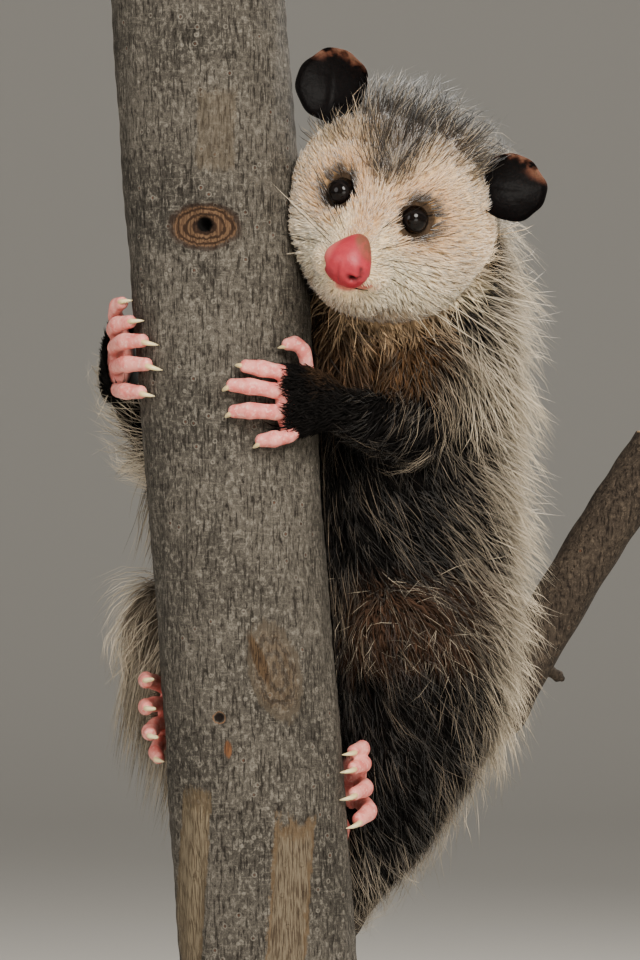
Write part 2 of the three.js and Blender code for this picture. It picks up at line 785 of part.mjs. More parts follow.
// The limbs as they grow out of the body, and the locks of the thighs
const limbs = {};
for (const side of ["left", "right"]) {
  const forms = limbsOf(side);
  const cutters = {
    upperArm: grown(forms.upperArm),
    forearm: grown(forms.forearm),
    thigh: grown(forms.thigh),
    shin: grown(forms.shin),
    hand: paw(paws[side].hand, gap),
    foot: paw(paws[side].foot, gap),
  };
  const fringe = coat(forms.thigh, thighPlans[side], [trunkGrown, cutters.foot]);
  const fringeGrown = coat(forms.thigh, thighPlans[side], [trunkGrown, cutters.foot], coatGap);
  limbs[side] = { forms, cutters, fringe, fringeGrown };
}
const limbCutters = ["left", "right"].flatMap((side) => Object.values(limbs[side].cutters));

// The tail's lengths, each as a span of its form
const tailNames = ["tail_base", "tail_upper", "tail_middle", "tail_lower", "tail_tip"];
const tailParting = gap / tailForm.length;
const tailSpans = tailNames.map((name, i) => {
  const last = i === tailNames.length - 1;
  return { from: tailCuts[i], to: tailCuts[i + 1] - (last ? 0 : tailParting), flat: [true, !last] };
});
const tailGrown = join(tailSpans.map((span) => tailForm.body({ ...span, grow: gap })));

// Neck and torso with their coat
const around = [trunkGrown, limbGrown, headGrown];
const fringesGrown = [limbs.left.fringeGrown, limbs.right.fringeGrown];
const torsoCutters = [...limbCutters, ...fringesGrown, tailGrown, limbGrown, headGrown];
const torsoCoat = cut(coat(bodyForm, torsoPlan, [trunkGrown]), torsoCutters);
const torso = largest(cut(bodyForm.body(torsoSpan), [...around, ...fringesGrown]).add(torsoCoat));
place("torso", torso, "coat", coatSmoothing);
const neckCoat = cut(coat(bodyForm, neckPlan, [trunkGrown, torso]), [...limbCutters, headGrown]);
const neck = largest(cut(bodyForm.body(neckSpan), [headGrown, trunkGrown]).add(neckCoat));
place("neck", neck, "coat", coatSmoothing);

// Head
const eyesGrown = [eyeball(1, gap), eyeball(-1, gap)];
const lips = [-1, 1].map((side) => alongMouth(side, 0, { wide: 2, deep: 1 }));
const mouthCut = [-1, 1].map((side) => alongMouth(side, 0.6, { wide: 0.45, deep: 1.7 }));
const leftEarSolid = cut(ear(leftEar), [headGrown, trunkGrown]);
const rightEarSolid = cut(ear(rightEar), [headGrown, trunkGrown]);
const crown = coat(headForm, crownPlan, [neck, torso, trunkGrown, leftEarSolid, rightEarSolid]);
const head = join([headBlank, lid(1), lid(-1), ...lips, crown]);
place("head", cut(head, [...mouthCut, noseGrown, ...eyesGrown, trunkGrown]), "pale");
place("nose", cut(noseForm(), [...nostril(-1), ...nostril(1)]), "skin");
place("left_eye", eyeball(1), "eye");
place("right_eye", eyeball(-1), "eye");
place("left_ear", leftEarSolid, "ear");
place("right_ear", rightEarSolid, "ear");

// Limbs
for (const side of ["left", "right"]) {
  const { forms, cutters, fringe } = limbs[side];
  const locks = cut(fringe, [cutters.shin, tailGrown]);
  const thigh = cut(forms.thigh.body(), [bodyGrown, trunkGrown]).add(locks);
  const hand = paw(paws[side].hand);
  const foot = paw(paws[side].foot);
  place(side + "_upper_arm", cut(forms.upperArm.body(), [bodyGrown, trunkGrown, headGrown]), "dark");
  place(side + "_forearm", cut(forms.forearm.body(), [cutters.upperArm, bodyGrown, trunkGrown]), "dark");
  place(side + "_hand", cut(hand, [cutters.forearm, bodyGrown, trunkGrown]), "skin");
  place(side + "_thigh", cut(thigh, [limbGrown]), "coat", coatSmoothing);
  place(side + "_shin", cut(forms.shin.body(), [cutters.thigh, bodyGrown, trunkGrown, limbGrown]), "dark");
  place(side + "_foot", cut(foot, [cutters.shin, cutters.thigh, bodyGrown, trunkGrown, limbGrown]), "skin");
}

// Tail
tailNames.forEach((name, i) => {
  const length = tailForm.body(tailSpans[i]);
  place(name, cut(length, [trunkGrown, bodyGrown, limbGrown]), i < 2 ? "dark" : "tail");
});

export default opossum;
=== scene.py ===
# A young opossum clinging to a cut trunk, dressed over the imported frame.
# The tables hold millimetres; meshes are made in metres with their place in the mesh.
import math
import bpy
import bmesh
import numpy as np
from mathutils import Matrix, Vector
from mathutils.bvhtree import BVHTree


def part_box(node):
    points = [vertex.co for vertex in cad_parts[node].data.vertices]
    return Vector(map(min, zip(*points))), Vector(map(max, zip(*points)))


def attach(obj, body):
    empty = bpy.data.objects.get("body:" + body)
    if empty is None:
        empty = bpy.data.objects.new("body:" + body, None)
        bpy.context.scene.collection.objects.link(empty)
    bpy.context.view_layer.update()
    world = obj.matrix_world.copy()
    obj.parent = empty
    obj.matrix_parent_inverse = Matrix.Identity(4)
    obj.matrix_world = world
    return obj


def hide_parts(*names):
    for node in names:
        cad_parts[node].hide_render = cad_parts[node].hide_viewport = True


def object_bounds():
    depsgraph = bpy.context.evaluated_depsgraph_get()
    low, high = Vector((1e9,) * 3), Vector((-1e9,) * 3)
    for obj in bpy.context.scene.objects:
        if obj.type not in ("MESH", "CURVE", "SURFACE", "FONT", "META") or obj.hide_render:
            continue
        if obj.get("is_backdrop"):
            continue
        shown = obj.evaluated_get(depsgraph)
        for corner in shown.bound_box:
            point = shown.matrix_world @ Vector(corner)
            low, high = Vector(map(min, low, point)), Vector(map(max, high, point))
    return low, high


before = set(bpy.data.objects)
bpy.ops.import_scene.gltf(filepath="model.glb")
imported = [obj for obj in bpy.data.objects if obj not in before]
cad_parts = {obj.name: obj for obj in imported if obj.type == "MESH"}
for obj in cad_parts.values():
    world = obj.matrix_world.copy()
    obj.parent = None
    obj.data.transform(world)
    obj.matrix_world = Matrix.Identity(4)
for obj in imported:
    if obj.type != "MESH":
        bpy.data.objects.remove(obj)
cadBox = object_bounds()
mm = 0.001
print("frame loaded")


def linked(name, data):
    thing = bpy.data.objects.new(name, data)
    bpy.context.collection.objects.link(thing)
    return thing


# Camera: level, far off, at the photo's framing
cameraSetup = {"distance": 2200, "height": 320, "tall": 345.6, "film": 36}
lens = bpy.data.cameras.new("camera")
lens.sensor_fit = "VERTICAL"
lens.sensor_height = cameraSetup["film"]
lens.lens = cameraSetup["film"] * cameraSetup["distance"] / cameraSetup["tall"]
lens.clip_end = 30
camera = linked("camera", lens)
camera.location = (0, -cameraSetup["distance"] * mm, cameraSetup["height"] * mm)
camera.rotation_euler = (math.pi / 2, 0, 0)
bpy.context.scene.camera = camera
print("camera placed")


# Small helpers
def unit(v):
    return v / np.maximum(np.linalg.norm(v, axis=-1, keepdims=True), 1e-9)


def squareTo(v, normal):
    return v - normal * (v * normal).sum(-1)[..., None]


def farFrom(points, spot):
    return np.linalg.norm(points - np.asarray(spot), axis=-1)


def smooth(low, high, value):
    t = np.clip((value - low) / (high - low), 0, 1)
    return t * t * (3 - 2 * t)


def bell(value, reach):
    return np.exp(-(value / reach) ** 2)


def tone(red, green, blue):
    # a screen colour of 0 to 255 as linear light
    screen = np.array([red, green, blue]) / 255
    return np.where(screen <= 0.04045, screen / 12.92, ((screen + 0.055) / 1.055) ** 2.4)


def throughKeys(points, t):
    # a centripetal curve through the keys, with equal steps of t between them
    padded = np.vstack([2 * points[0] - points[1], points, 2 * points[-1] - points[-2]])
    place = np.clip(t, 0, 1) * (len(points) - 1)
    i = np.minimum(place.astype(int), len(points) - 2)
    w = (place - i)[:, None]
    p0, p1, p2, p3 = (padded[i + k] for k in range(4))
    pairs = ((p0, p1), (p1, p2), (p2, p3))
    d0, d1, d2 = (((a - b) ** 2).sum(-1, keepdims=True) ** 0.25 for a, b in pairs)
    d1 = np.where(d1 < 1e-4, 1, d1)
    d0, d2 = (np.where(d < 1e-4, d1, d) for d in (d0, d2))
    t1 = ((p1 - p0) / d0 - (p2 - p0) / (d0 + d1) + (p2 - p1) / d1) * d1
    t2 = ((p2 - p1) / d1 - (p3 - p1) / (d1 + d2) + (p3 - p2) / d2) * d1
    square = w * w
    return p1 + t1 * w + (3 * (p2 - p1) - 2 * t1 - t2) * square + (2 * (p1 - p2) + t1 + t2) * square * w


# Trunk: its place and lean are read from the frame
low, high = (np.array(corner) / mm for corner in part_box("perch_trunk"))
breadth, depth, tall = high - low
trunk = {"radius": depth / 2, "bottom": low[2], "top": high[2], "lean": (depth - breadth) / tall}
trunk["midX"], _, trunk["midZ"] = (low + high) / 2


def trunkMiddle(z):
    return trunk["midX"] + trunk["lean"] * (z - trunk["midZ"])


def fromAxis(points):
    return np.hypot(points[..., 0] - trunkMiddle(points[..., 2]), points[..., 1])


def awayFromTrunk(azimuth):
    # azimuth 0 faces the viewer, 90 is the viewer's right
    return np.array([math.sin(math.radians(azimuth)), -math.cos(math.radians(azimuth)), 0])


def roundTrunk(azimuth, distance, z):
    return awayFromTrunk(azimuth) * distance + [trunkMiddle(z), 0, z]


def clearTrunk(points, room=0.7):
    # what would enter the trunk lies against it
    middle, far = trunkMiddle(points[..., 2]), fromAxis(points)
    grow = np.maximum(far, trunk["radius"] + room) / np.maximum(far, 1e-6)
    out = points.copy()
    out[..., 0] = middle + (points[..., 0] - middle) * grow
    out[..., 1] *= grow
    return out


# Forms: stations of x, y, z, half a breadth and half a depth, and the way the depth faces
formTaper = 60


def makeForm(stations, outs=(0, 1, 0)):
    # the depth may be left out; outs is one way for all stations or one for each
    table = np.array([[*row, row[3]][:5] for row in stations], float)
    form = {"middle": table[:, :3], "sizes": table[:, 3:]}
    form["outs"] = np.broadcast_to(np.array(outs, float), (len(table), 3))
    line = throughKeys(form["middle"], np.linspace(0, 1, 200))
    form["length"] = float(np.linalg.norm(np.diff(line, axis=0), axis=1).sum())
    return form


def framesAt(form, u):
    inside = np.clip(u, 0, 1)
    ahead = throughKeys(form["middle"], np.minimum(inside + 1e-3, 1))
    behind = throughKeys(form["middle"], np.maximum(inside - 1e-3, 0))
    along = unit(ahead - behind)
    at = throughKeys(form["middle"], inside) + along * ((u - inside) * form["length"])[:, None]
    outward = unit(squareTo(throughKeys(form["outs"], inside), along))
    beyond = np.maximum(0, u - 1) * form["length"]
    sizes = throughKeys(form["sizes"], inside) * np.maximum(0.2, 1 - beyond / formTaper)[:, None]
    return at, along, outward, np.cross(along, outward), sizes


def surfaceAt(form, u, angle, push):
    at, _, outward, side, sizes = framesAt(form, u)
    cosine, sine = np.cos(angle)[:, None], np.sin(angle)[:, None]
    wide, deep = sizes[:, :1], sizes[:, 1:]
    facing = unit(side * cosine / wide + outward * sine / deep)
    return at + side * cosine * wide + outward * sine * deep + facing * np.asarray(push)[..., None], facing


def nearestStation(form, points):
    # the share along the form of the station nearest each point, the offset from it, and its axes
    shares = np.linspace(0, 1, 60)
    at, *axes = framesAt(form, shares)
    parts = np.array_split(points, 1 + len(points) // 20000)
    near = np.concatenate([((part[:, None] - at[None]) ** 2).sum(-1).argmin(1) for part in parts])
    return shares[near], points - at[near], [axis[near] for axis in axes]


def insideForm(form, points, margin):
    _, off, (along, outward, side, sizes) = nearestStation(form, points)
    across = (off * side).sum(-1) / (sizes[:, 0] + margin)
    upward = (off * outward).sum(-1) / (sizes[:, 1] + margin)
    return (across ** 2 + upward ** 2 < 1) & (np.abs((off * along).sum(-1)) < 0.6 * sizes.min(1))


# Shapes and pieces
def vertsOf(shape):
    return np.array([v.co for v in shape.verts])


def moveVerts(shape, places):
    for vert, spot in zip(shape.verts, places):
        vert.co = spot * mm
    bmesh.ops.recalc_face_normals(shape, faces=shape.faces)
    return shape


def sphere(around, rows):
    ball = bmesh.new()
    bmesh.ops.create_uvsphere(ball, u_segments=around, v_segments=rows, radius=1)
    return ball


def wrapSphere(form, around, rings, caps, grow=0.0, blunt=0.9, wave=None, flat=False):
    # a sphere whose rows are laid along the form, its ends round or flat; wave adds a push at (u, angle)
    rows = rings + 2 * caps
    ball = sphere(around, rows)
    co = vertsOf(ball)
    row = np.arccos(np.clip(co[:, 2], -1, 1)) / math.pi * rows
    angle = np.arctan2(co[:, 1], co[:, 0])
    atStart, atEnd = row < caps - 1e-4, row > rows - caps + 1e-4
    u = np.clip((row - caps) / rings, 0, 1)
    at, along, outward, side, sizes = framesAt(form, u)
    turn = np.where(atStart, row / caps, np.where(atEnd, (rows - row) / caps, 1)) * math.pi / 2
    extra = grow + (wave(u, angle) if wave else 0)
    endwards = np.where(atStart, -1, np.where(atEnd, 1, 0)) * (not flat)
    reach = np.cos(turn) * (sizes.min(1) * blunt + grow) * endwards
    across = np.cos(angle) * (sizes[:, 0] + extra) * np.sin(turn)
    upward = np.sin(angle) * (sizes[:, 1] + extra) * np.sin(turn)
    return moveVerts(ball, at + along * reach[:, None] + side * across[:, None] + outward * upward[:, None])


def objectFrom(shape, name, shade=True):
    mesh = bpy.data.meshes.new(name)
    shape.to_mesh(mesh)
    shape.free()
    mesh.polygons.foreach_set("use_smooth", [shade] * len(mesh.polygons))
    return linked(name, mesh)


def gather(shapes):
    # several shapes as one
    whole = bmesh.new()
    for shape in shapes:
        holder = bpy.data.meshes.new("holder")
        shape.to_mesh(holder)
        shape.free()
        whole.from_mesh(holder)
        bpy.data.meshes.remove(holder)
    return whole


def fuse(shapes, name, voxel, softness):
    # closed shapes that cross become one even skin
    piece = objectFrom(gather(shapes), name)
    remesh = piece.modifiers.new("skin", "REMESH")
    remesh.mode = "VOXEL"
    remesh.voxel_size = voxel * mm
    remesh.use_smooth_shade = True
    relax = piece.modifiers.new("relax", "SMOOTH")
    relax.factor = 0.5
    relax.iterations = softness
    graph = bpy.context.evaluated_depsgraph_get()
    made = bpy.data.meshes.new_from_object(piece.evaluated_get(graph))
    old = piece.data
    piece.modifiers.clear()
    piece.data = made
    bpy.data.meshes.remove(old)
    made.name = name
    made.polygons.foreach_set("use_smooth", [True] * len(made.polygons))
    return piece


def finishPiece(piece, slot, material, *nodes):
    piece.data.materials.clear()
    piece.data.materials.append(material)
    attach(piece, "root")
    if nodes:
        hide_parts(*nodes)
    return piece


def paint(piece, name, colours):
    attribute = piece.data.color_attributes.new(name, "FLOAT_COLOR", "POINT")
    full = np.ones((len(colours), 4), np.float32)
    full[:, :3] = colours
    attribute.data.foreach_set("color", full.ravel())


def layer(piece, name, values):
    piece.data.attributes.new(name, "FLOAT", "POINT").data.foreach_set("value", values.astype(np.float32))


def vertexPlaces(piece):
    flat = np.empty(len(piece.data.vertices) * 3, np.float32)
    piece.data.vertices.foreach_get("co", flat)
    return flat.reshape(-1, 3) / mm


def skinTree(piece):
    mesh = piece.data
    return BVHTree.FromPolygons([v.co for v in mesh.vertices], [p.vertices for p in mesh.polygons])


def nearestSkin(tree, points):
    found = [tree.find_nearest(Vector(p)) for p in points * mm]
    return np.array([hit[0] for hit in found]) / mm, np.array([hit[1] for hit in found])


# Material helpers
def plug(tree, node, **inputs):
    # a socket is linked, a number or colour is set on the node's own socket
    for name, value in inputs.items():
        socket = node.inputs[name.replace("_", " ")]
        if isinstance(value, bpy.types.NodeSocket):
            tree.links.new(value, socket)
        else:
            socket.default_value = value
    return node


def newMaterial(name, **values):
    material = bpy.data.materials.new(name)
    material.use_nodes = True
    tree = material.node_tree
    return material, tree, plug(tree, tree.nodes["Principled BSDF"], **values)


def addNode(tree, kind, settings=None, **inputs):
    node = tree.nodes.new("ShaderNode" + kind)
    for name, value in (settings or {}).items():
        setattr(node, name, value)
    return plug(tree, node, **inputs)


def rgba(colour):
    return (*[float(c) for c in colour], 1.0)


def mixColour(tree, factor, first, second, blend="MIX"):
    node = addNode(tree, "Mix", {"data_type": "RGBA", "blend_type": blend})
    for socket, value in ((node.inputs[0], factor), (node.inputs[6], first), (node.inputs[7], second)):
        if isinstance(value, bpy.types.NodeSocket):
            tree.links.new(value, socket)
        else:
            socket.default_value = value if isinstance(value, float) else rgba(value)
    return node.outputs[2]


def calc(tree, operation, *values):
    node = addNode(tree, "Math", {"operation": operation})
    for socket, value in zip(node.inputs, values):
        if isinstance(value, bpy.types.NodeSocket):
            tree.links.new(value, socket)
        else:
            socket.default_value = value
    return node.outputs[0]


def times(tree, first, second):
    return calc(tree, "MULTIPLY", first, second)


def ramp(tree, value, low, high):
    return addNode(tree, "MapRange", {"interpolation_type": "SMOOTHSTEP"}, Value=value, From_Min=low,
                   From_Max=high).outputs["Result"]


def brightened(tree, colour, level):
    shade = addNode(tree, "CombineColor", Red=level, Green=level, Blue=level)
    return mixColour(tree, 1.0, colour, shade.outputs[0], "MULTIPLY")


def meshLayer(tree, name, output="Fac"):
    return addNode(tree, "Attribute", {"attribute_name": name}).outputs[output]


def objectPlace(tree):
    return addNode(tree, "TexCoord").outputs["Object"]


def noise(tree, scale, detail, roughness=0.5):
    # scale per metre, one for each axis
    place = addNode(tree, "Mapping", Vector=objectPlace(tree), Scale=scale)
    return addNode(tree, "TexNoise", Vector=place.outputs[0], Scale=1.0, Detail=detail,
                   Roughness=roughness).outputs[0]


def cells(tree, scale):
    return addNode(tree, "TexVoronoi", Vector=objectPlace(tree), Scale=scale).outputs


def bumpFrom(tree, height, strength, distance, **under):
    bump = addNode(tree, "Bump", Height=height, Strength=strength, Distance=distance * mm, **under)
    return bump.outputs[0]


def newGroup(name, inputs, outputs):
    # an effect shared by several materials; inputs and outputs say what each socket carries
    group = bpy.data.node_groups.new(name, "ShaderNodeTree")
    for way, sockets in (("INPUT", inputs), ("OUTPUT", outputs)):
        for label, kind in sockets.items():
            group.interface.new_socket(name=label, in_out=way, socket_type="NodeSocket" + kind)
    return group, group.nodes.new("NodeGroupInput").outputs, group.nodes.new("NodeGroupOutput")


def useGroup(tree, group, **inputs):
    return addNode(tree, "Group", {"node_tree": group}, **inputs).outputs


def speckleGroup():
    # patches of noise as a mask: Scale per metre, and the levels where a patch starts and is full
    sockets = {"Place": "Vector", "Scale": "Float", "Start": "Float", "Full": "Float"}
    group, given, result = newGroup("speckle", sockets, {"Mask": "Float"})
    patches = addNode(group, "TexNoise", Vector=given["Place"], Scale=given["Scale"], Detail=4.0)
    plug(group, result, Mask=ramp(group, patches.outputs[0], given["Start"], given["Full"]))
    return group


speckles = speckleGroup()


def speckle(tree, scale, start, full):
    return useGroup(tree, speckles, Place=objectPlace(tree), Scale=scale, Start=start, Full=full)["Mask"]


# Body from the nape to the rump; its back faces away from the trunk at the azimuth that ends each row
bodyStations = [
    (33, -8, 424, 25, 25, 120), (34, 6, 406, 27.5, 27.5, 115), (34, 20, 386, 33, 33, 115),
    (32, 31, 361, 38, 37, 118), (30, 36, 334, 38.5, 38, 122), (28, 40, 306, 40, 39, 128),
    (26, 45, 277, 44, 40.5, 136), (21, 50, 248, 46, 40.5, 144), (15, 53, 218, 40, 35, 150),
    (10, 52, 193, 28, 25, 155), (3, 48, 175, 17, 15, 160),
]
bodyForm = makeForm([row[:5] for row in bodyStations], [awayFromTrunk(row[5]) for row in bodyStations])

# Head in its own frame: x to the animal's left, y back from the nose, z up, from the brow point
headPose = {"brow": [21, -37, 417.6], "roll": 19, "pitch": 19.5, "yaw": 6.5}
headStations = [
    (0, -33, -14, 6.6, 6), (0, -29, -13.6, 9, 8.6), (0, -21, -12.4, 11, 11), (0, -12, -12, 14, 15.5),
    (0, -3, -12, 21, 23.5), (0.5, 6, -11.5, 31, 33), (1.5, 16, -9.5, 37, 39), (2, 27, -5.5, 38.5, 40),
    (2.5, 37, 0, 33, 32.5), (2.5, 45, 3, 21, 20),
]


def headAxes():
    roll, pitch, yaw = (math.radians(headPose[k]) for k in ("roll", "pitch", "yaw"))
    right = np.array([math.cos(roll), 0, -math.sin(roll)])
    up = np.array([math.sin(roll), 0, math.cos(roll)])
    far = np.array([0, 1, 0])
    back = far * math.cos(pitch) + up * math.sin(pitch)
    return np.array([
        right * math.cos(yaw) - back * math.sin(yaw),
        back * math.cos(yaw) + right * math.sin(yaw),
        up * math.cos(pitch) - far * math.sin(pitch),
    ])


headBasis = headAxes()
brow = np.array(headPose["brow"])


def inHead(points):
    return np.asarray(points, float) @ headBasis + brow


def headLocal(points):
    return (np.asarray(points) - brow) @ headBasis.T


def formInHead(stations):
    return makeForm([[*inHead(row[:3]), *row[3:]] for row in stations], headBasis[2])


headForm = formInHead(headStations)

# Limbs between their joints
joints = {
    "left": {
        "shoulder": [40, 4, 366], "elbow": [32, -12, 337], "wrist": roundTrunk(57, 43.5, 347),
        "hip": [42, 36, 238], "knee": [29, 6, 266], "ankle": roundTrunk(128, 47, 227),
    },
    "right": {
        "shoulder": [-4, 56, 357], "elbow": [-51, 40, 326], "wrist": roundTrunk(-121, 44, 355),
        "hip": [-12, 62, 244], "knee": [-55, 49, 268], "ankle": roundTrunk(201, 47, 237),
    },
}
limbFacing = {
    "left": {"arm": [0.3, -0.9, 0], "leg": [0.6, -0.6, 0.2]},
    "right": {"arm": [-0.2, 0.9, 0.3], "leg": [-0.6, 0.5, 0.3]},
}
limbSizes = {
    "upper_arm": ("arm", "shoulder", "elbow", [[16, 15], [14, 13], [11.5, 11]]),
    "forearm": ("arm", "elbow", "wrist", [[11, 10.5], [10.5, 9.5], [7.5, 7]]),
    "thigh": ("leg", "hip", "knee", [[25, 22], [23, 21], [18, 17]]),
    "shin": ("leg", "knee", "ankle", [[15, 14], [13, 12.5], [9, 8]]),
}


def limbForm(side, name):
    kind, start, end, sizes = limbSizes[name]
    first, last = (np.array(joints[side][joint], float) for joint in (start, end))
    rows = [[*(first + (last - first) * i / 2), *size] for i, size in enumerate(sizes)]
    return makeForm(rows, limbFacing[side][kind])


limbs = {(side, name): limbForm(side, name) for side in joints for name in limbSizes}

# Markings: the colours of skin, underfur and guard hair at a place, the same on skin and coat; the tan under
# the chin also carries painted shade
palette = {
    "cream": tone(255, 229, 184), "white": tone(255, 240, 206), "buff": tone(208, 160, 108),
    # the tan under the chin is halved in brightness: painted shade under the chin
    "chinTanAndShade": tone(208, 160, 108) * 0.5, "grizzle": tone(44, 36, 31), "lip": tone(196, 84, 80),
    "black": tone(9, 7, 6), "brown": tone(62, 44, 32), "bib": tone(86, 62, 40),
    "ivory": tone(238, 222, 194), "grey": tone(156, 140, 120), "dun": tone(118, 104, 86),
}
eyeSetup = {"radius": 5.2, "at": np.array([13.7, -2.2, 0])}
signs = {"left": 1, "right": -1}
eyeCentres = {side: inHead(eyeSetup["at"] * [sign, 1, 1]) for side, sign in signs.items()}
crownLine = np.array([(-30, 16), (-15, 9), (-9, 4), (-2, -8), (4, -2), (10, 5), (25, 12), (35, 18)], float)


def blend(base, colour, mask):
    return base + (colour - base) * mask[:, None]


def headMask(points):
    # 1 on the head, 0 on the body, softly parted behind the cheeks and the crown
    local = headLocal(points)
    behind = smooth(27, 37, local[:, 1] + 0.25 * local[:, 2])
    return (1 - behind) * (1 - smooth(40, 47, farFrom(local, [1, 8, -8])))


def crownMask(points):
    x, y, z = headLocal(points).T
    line = np.interp(x, *crownLine.T)
    return smooth(line - 7, line + 8, y) * smooth(4, 12, z)


def lipMask(points):
    # the bare pink lips, right under the nose and a little along the animal's left side
    x, y, z = headLocal(points).T
    return smooth(-19, -21, z) * smooth(-26.2, -24.6, z) * smooth(-22, -27, y) * smooth(-4, -1, x)


def headColour(points):
    x, y, z = headLocal(points).T
    nearEye = np.min([farFrom(points, centre) for centre in eyeCentres.values()], axis=0)
    bridge = smooth(-31, -26, y) * smooth(-6, -16, y) * smooth(6, 2.5, np.abs(x)) * smooth(-10, -6, z)
    washes = [
        ("white", 1, smooth(-6, -16, z) * smooth(-30, -10, y)),
        ("buff", 0.5, smooth(-8, 4, z) * smooth(27, 14, np.abs(x))),
        ("buff", 0.75, smooth(19, 8, nearEye)),
        ("buff", 0.4, smooth(16, 28, np.hypot(x, 0.6 * (z + 6))) * smooth(-14, 4, y) * smooth(-30, -14, z)),
        # tan under the chin, darker towards the bottom as painted shade
        ("chinTanAndShade", 0.8, smooth(-26, -37, z)),
        ("buff", 0.8, bridge),
        ("grizzle", 0.95, smooth(9.7, 7.0, nearEye)),
        ("grizzle", 0.9, crownMask(points)),
        ("lip", 0.85, lipMask(points)),
        ("cream", 0.8, smooth(24, 31, -x) * smooth(6, 14, z)),
    ]
    colour = palette["cream"] * np.ones((len(points), 1))
    for name, strength, mask in washes:
        colour = blend(colour, palette[name], strength * mask)
    return colour


def backness(points):
    # 0 by the trunk and on the breast, 1 along the back; the far leg is pale as well
    x, _, z = points.T
    far = fromAxis(points)
    nape = 0.6 * smooth(335, 362, z) * smooth(58, 76, far)
    rump, farLeg = 0.55 * smooth(212, 180, z), 0.85 * smooth(-26, -42, x)
    return np.max([smooth(60, 108, far), rump, nape, farLeg], axis=0)


def bibMask(points):
    x, y, z = points.T
    return smooth(349, 360, z) * smooth(-3, 4, x) * smooth(48, 34, x) * smooth(24, 4, y)


def kneeMask(points):
    x, y, z = points.T
    return smooth(250, 262, z) * smooth(296, 282, z) * smooth(4, 14, x) * smooth(34, 14, y)


def underColour(points):
    # skin and underfur
    x, _, z = points.T
    body = palette["black"] * np.ones((len(points), 1))
    body = blend(body, palette["bib"], 0.7 * bibMask(points))
    body = blend(body, palette["brown"], 0.8 * kneeMask(points))
    body = blend(body, palette["grey"] * 0.45, 0.85 * smooth(-32, -44, x) * smooth(332, 316, z))
    return blend(body, headColour(points), headMask(points))


def guardColour(points):
    # the outer hairs beyond their dark roots
    body = blend(palette["dun"] * np.ones((len(points), 1)), palette["ivory"], backness(points))
    body = blend(body, palette["buff"] * 0.22, 0.85 * bibMask(points))
    return blend(body, headColour(points), headMask(points))


# Skin: body and limbs, and the head, each fused from its forms
skinSetup = {"bodyInset": 1.4, "limbInset": 2.6, "headInset": 2.6, "bodyVoxel": 1.65, "headVoxel": 0.88}


def furSkinMaterial():
    material, tree, shader = newMaterial("fur skin", Roughness=0.85, Specular_IOR_Level=0.08)
    patches = times(tree, speckle(tree, 700, 0.4, 0.65), 0.35)
    tinted = mixColour(tree, patches, meshLayer(tree, "tint", "Color"), (0.3, 0.27, 0.25), "MULTIPLY")
    streaks = noise(tree, (2600, 2600, 500), 3.0)
    plug(tree, shader, Base_Color=tinted, Normal=bumpFrom(tree, streaks, 0.8, 0.5))
    return material


furSkin = furSkinMaterial()


def bodySkin():
    shapes = [wrapSphere(bodyForm, 40, 60, 6, grow=-skinSetup["bodyInset"])]
    shapes += [wrapSphere(form, 24, 16, 5, grow=-skinSetup["limbInset"]) for form in limbs.values()]
    piece = fuse(shapes, "body_skin", skinSetup["bodyVoxel"], 4)
    paint(piece, "tint", underColour(vertexPlaces(piece)))
    names = [f"{side}_{name}" for side, name in limbs]
    return finishPiece(piece, "coat", furSkin, "torso", "neck", *names)


# Muzzle: lobes fused to the head; relief: a spot, its reach and its rise, on both sides of the face
muzzle = {
    "lip": [(2.2, -30.5, -18.4, 3.8, 4.0), (4.6, -25, -19.0, 5.2, 4.8), (8, -16, -19.5, 6, 6)],
    "jaw": [(0, -27, -24.4, 3.2, 2.8), (0.3, -22, -25.8, 5.4, 3.8), (0.5, -14, -27.6, 8, 5),
            (0.8, -4, -31, 12, 7)],
}
relief = {"brow": ([13.7, -1.2, 9], 6, 1.2), "cheek": ([27, 6, -22], 13, 1.6), "pad": ([7, -22, -17], 6, 1.3)}
eyeSocket = {"ring": 4.5, "reach": 4, "dip": 1.32}


def headSkin():
    shapes = [wrapSphere(headForm, 64, 60, 8, grow=-skinSetup["headInset"], blunt=0.5)]
    mouthParts = [[[sign * x, *rest] for x, *rest in muzzle["lip"]] for sign in (-1, 1)]
    shapes += [wrapSphere(formInHead(stations), 24, 16, 5) for stations in (*mouthParts, muzzle["jaw"])]
    piece = fuse(shapes, "head_skin", skinSetup["headVoxel"], 3)
    co = vertexPlaces(piece)
    local = headLocal(co)
    push = np.zeros(len(co))
    for sign in (-1, 1):
        mirror = np.array([sign, 1, 1])
        ring = farFrom(local, eyeSetup["at"] * mirror) - eyeSocket["ring"]
        push -= eyeSocket["dip"] * bell(ring, eyeSocket["reach"])
        for spot, reach, rise in relief.values():
            push += rise * bell(farFrom(local, spot * mirror), reach)
    co = co + unit(co - inHead([[0, 10, -8]])) * push[:, None]
    piece.data.vertices.foreach_set("co", (co * mm).astype(np.float32).ravel())
    paint(piece, "tint", underColour(co))
    return finishPiece(piece, "face_fur", furSkin, "head")


body = bodySkin()
head = headSkin()
bodyTree, headTree = skinTree(body), skinTree(head)
print("skin fused:", len(body.data.polygons), len(head.data.polygons), "faces")

# Coat: three-sided tapering strands, joined into pieces that each stay small
strandSetup = {
    "most": 190000, "patch": 0.003, "corners": ((0, 0.62), (-1, -0.3), (1, -0.3)),
    "breadth": ((0, 0.25, 0.6, 1), (0.75, 1, 0.8, 0)),
}
tiled = []


def spotOn(form, angle, share):
    # places on the form's own tile of the bake map; the tiles are numbered as the forms are met
    if "tile" not in form:
        form["tile"] = len(tiled)
        tiled.append(form)
    row, column = divmod(form["tile"], 4)
    across = 0.02 + 0.25 * column + 0.21 * (angle / (2 * math.pi) % 1)
    return np.stack([np.full(len(angle), form["tile"]), across, 0.02 + 0.25 * row + 0.21 * share], 1)


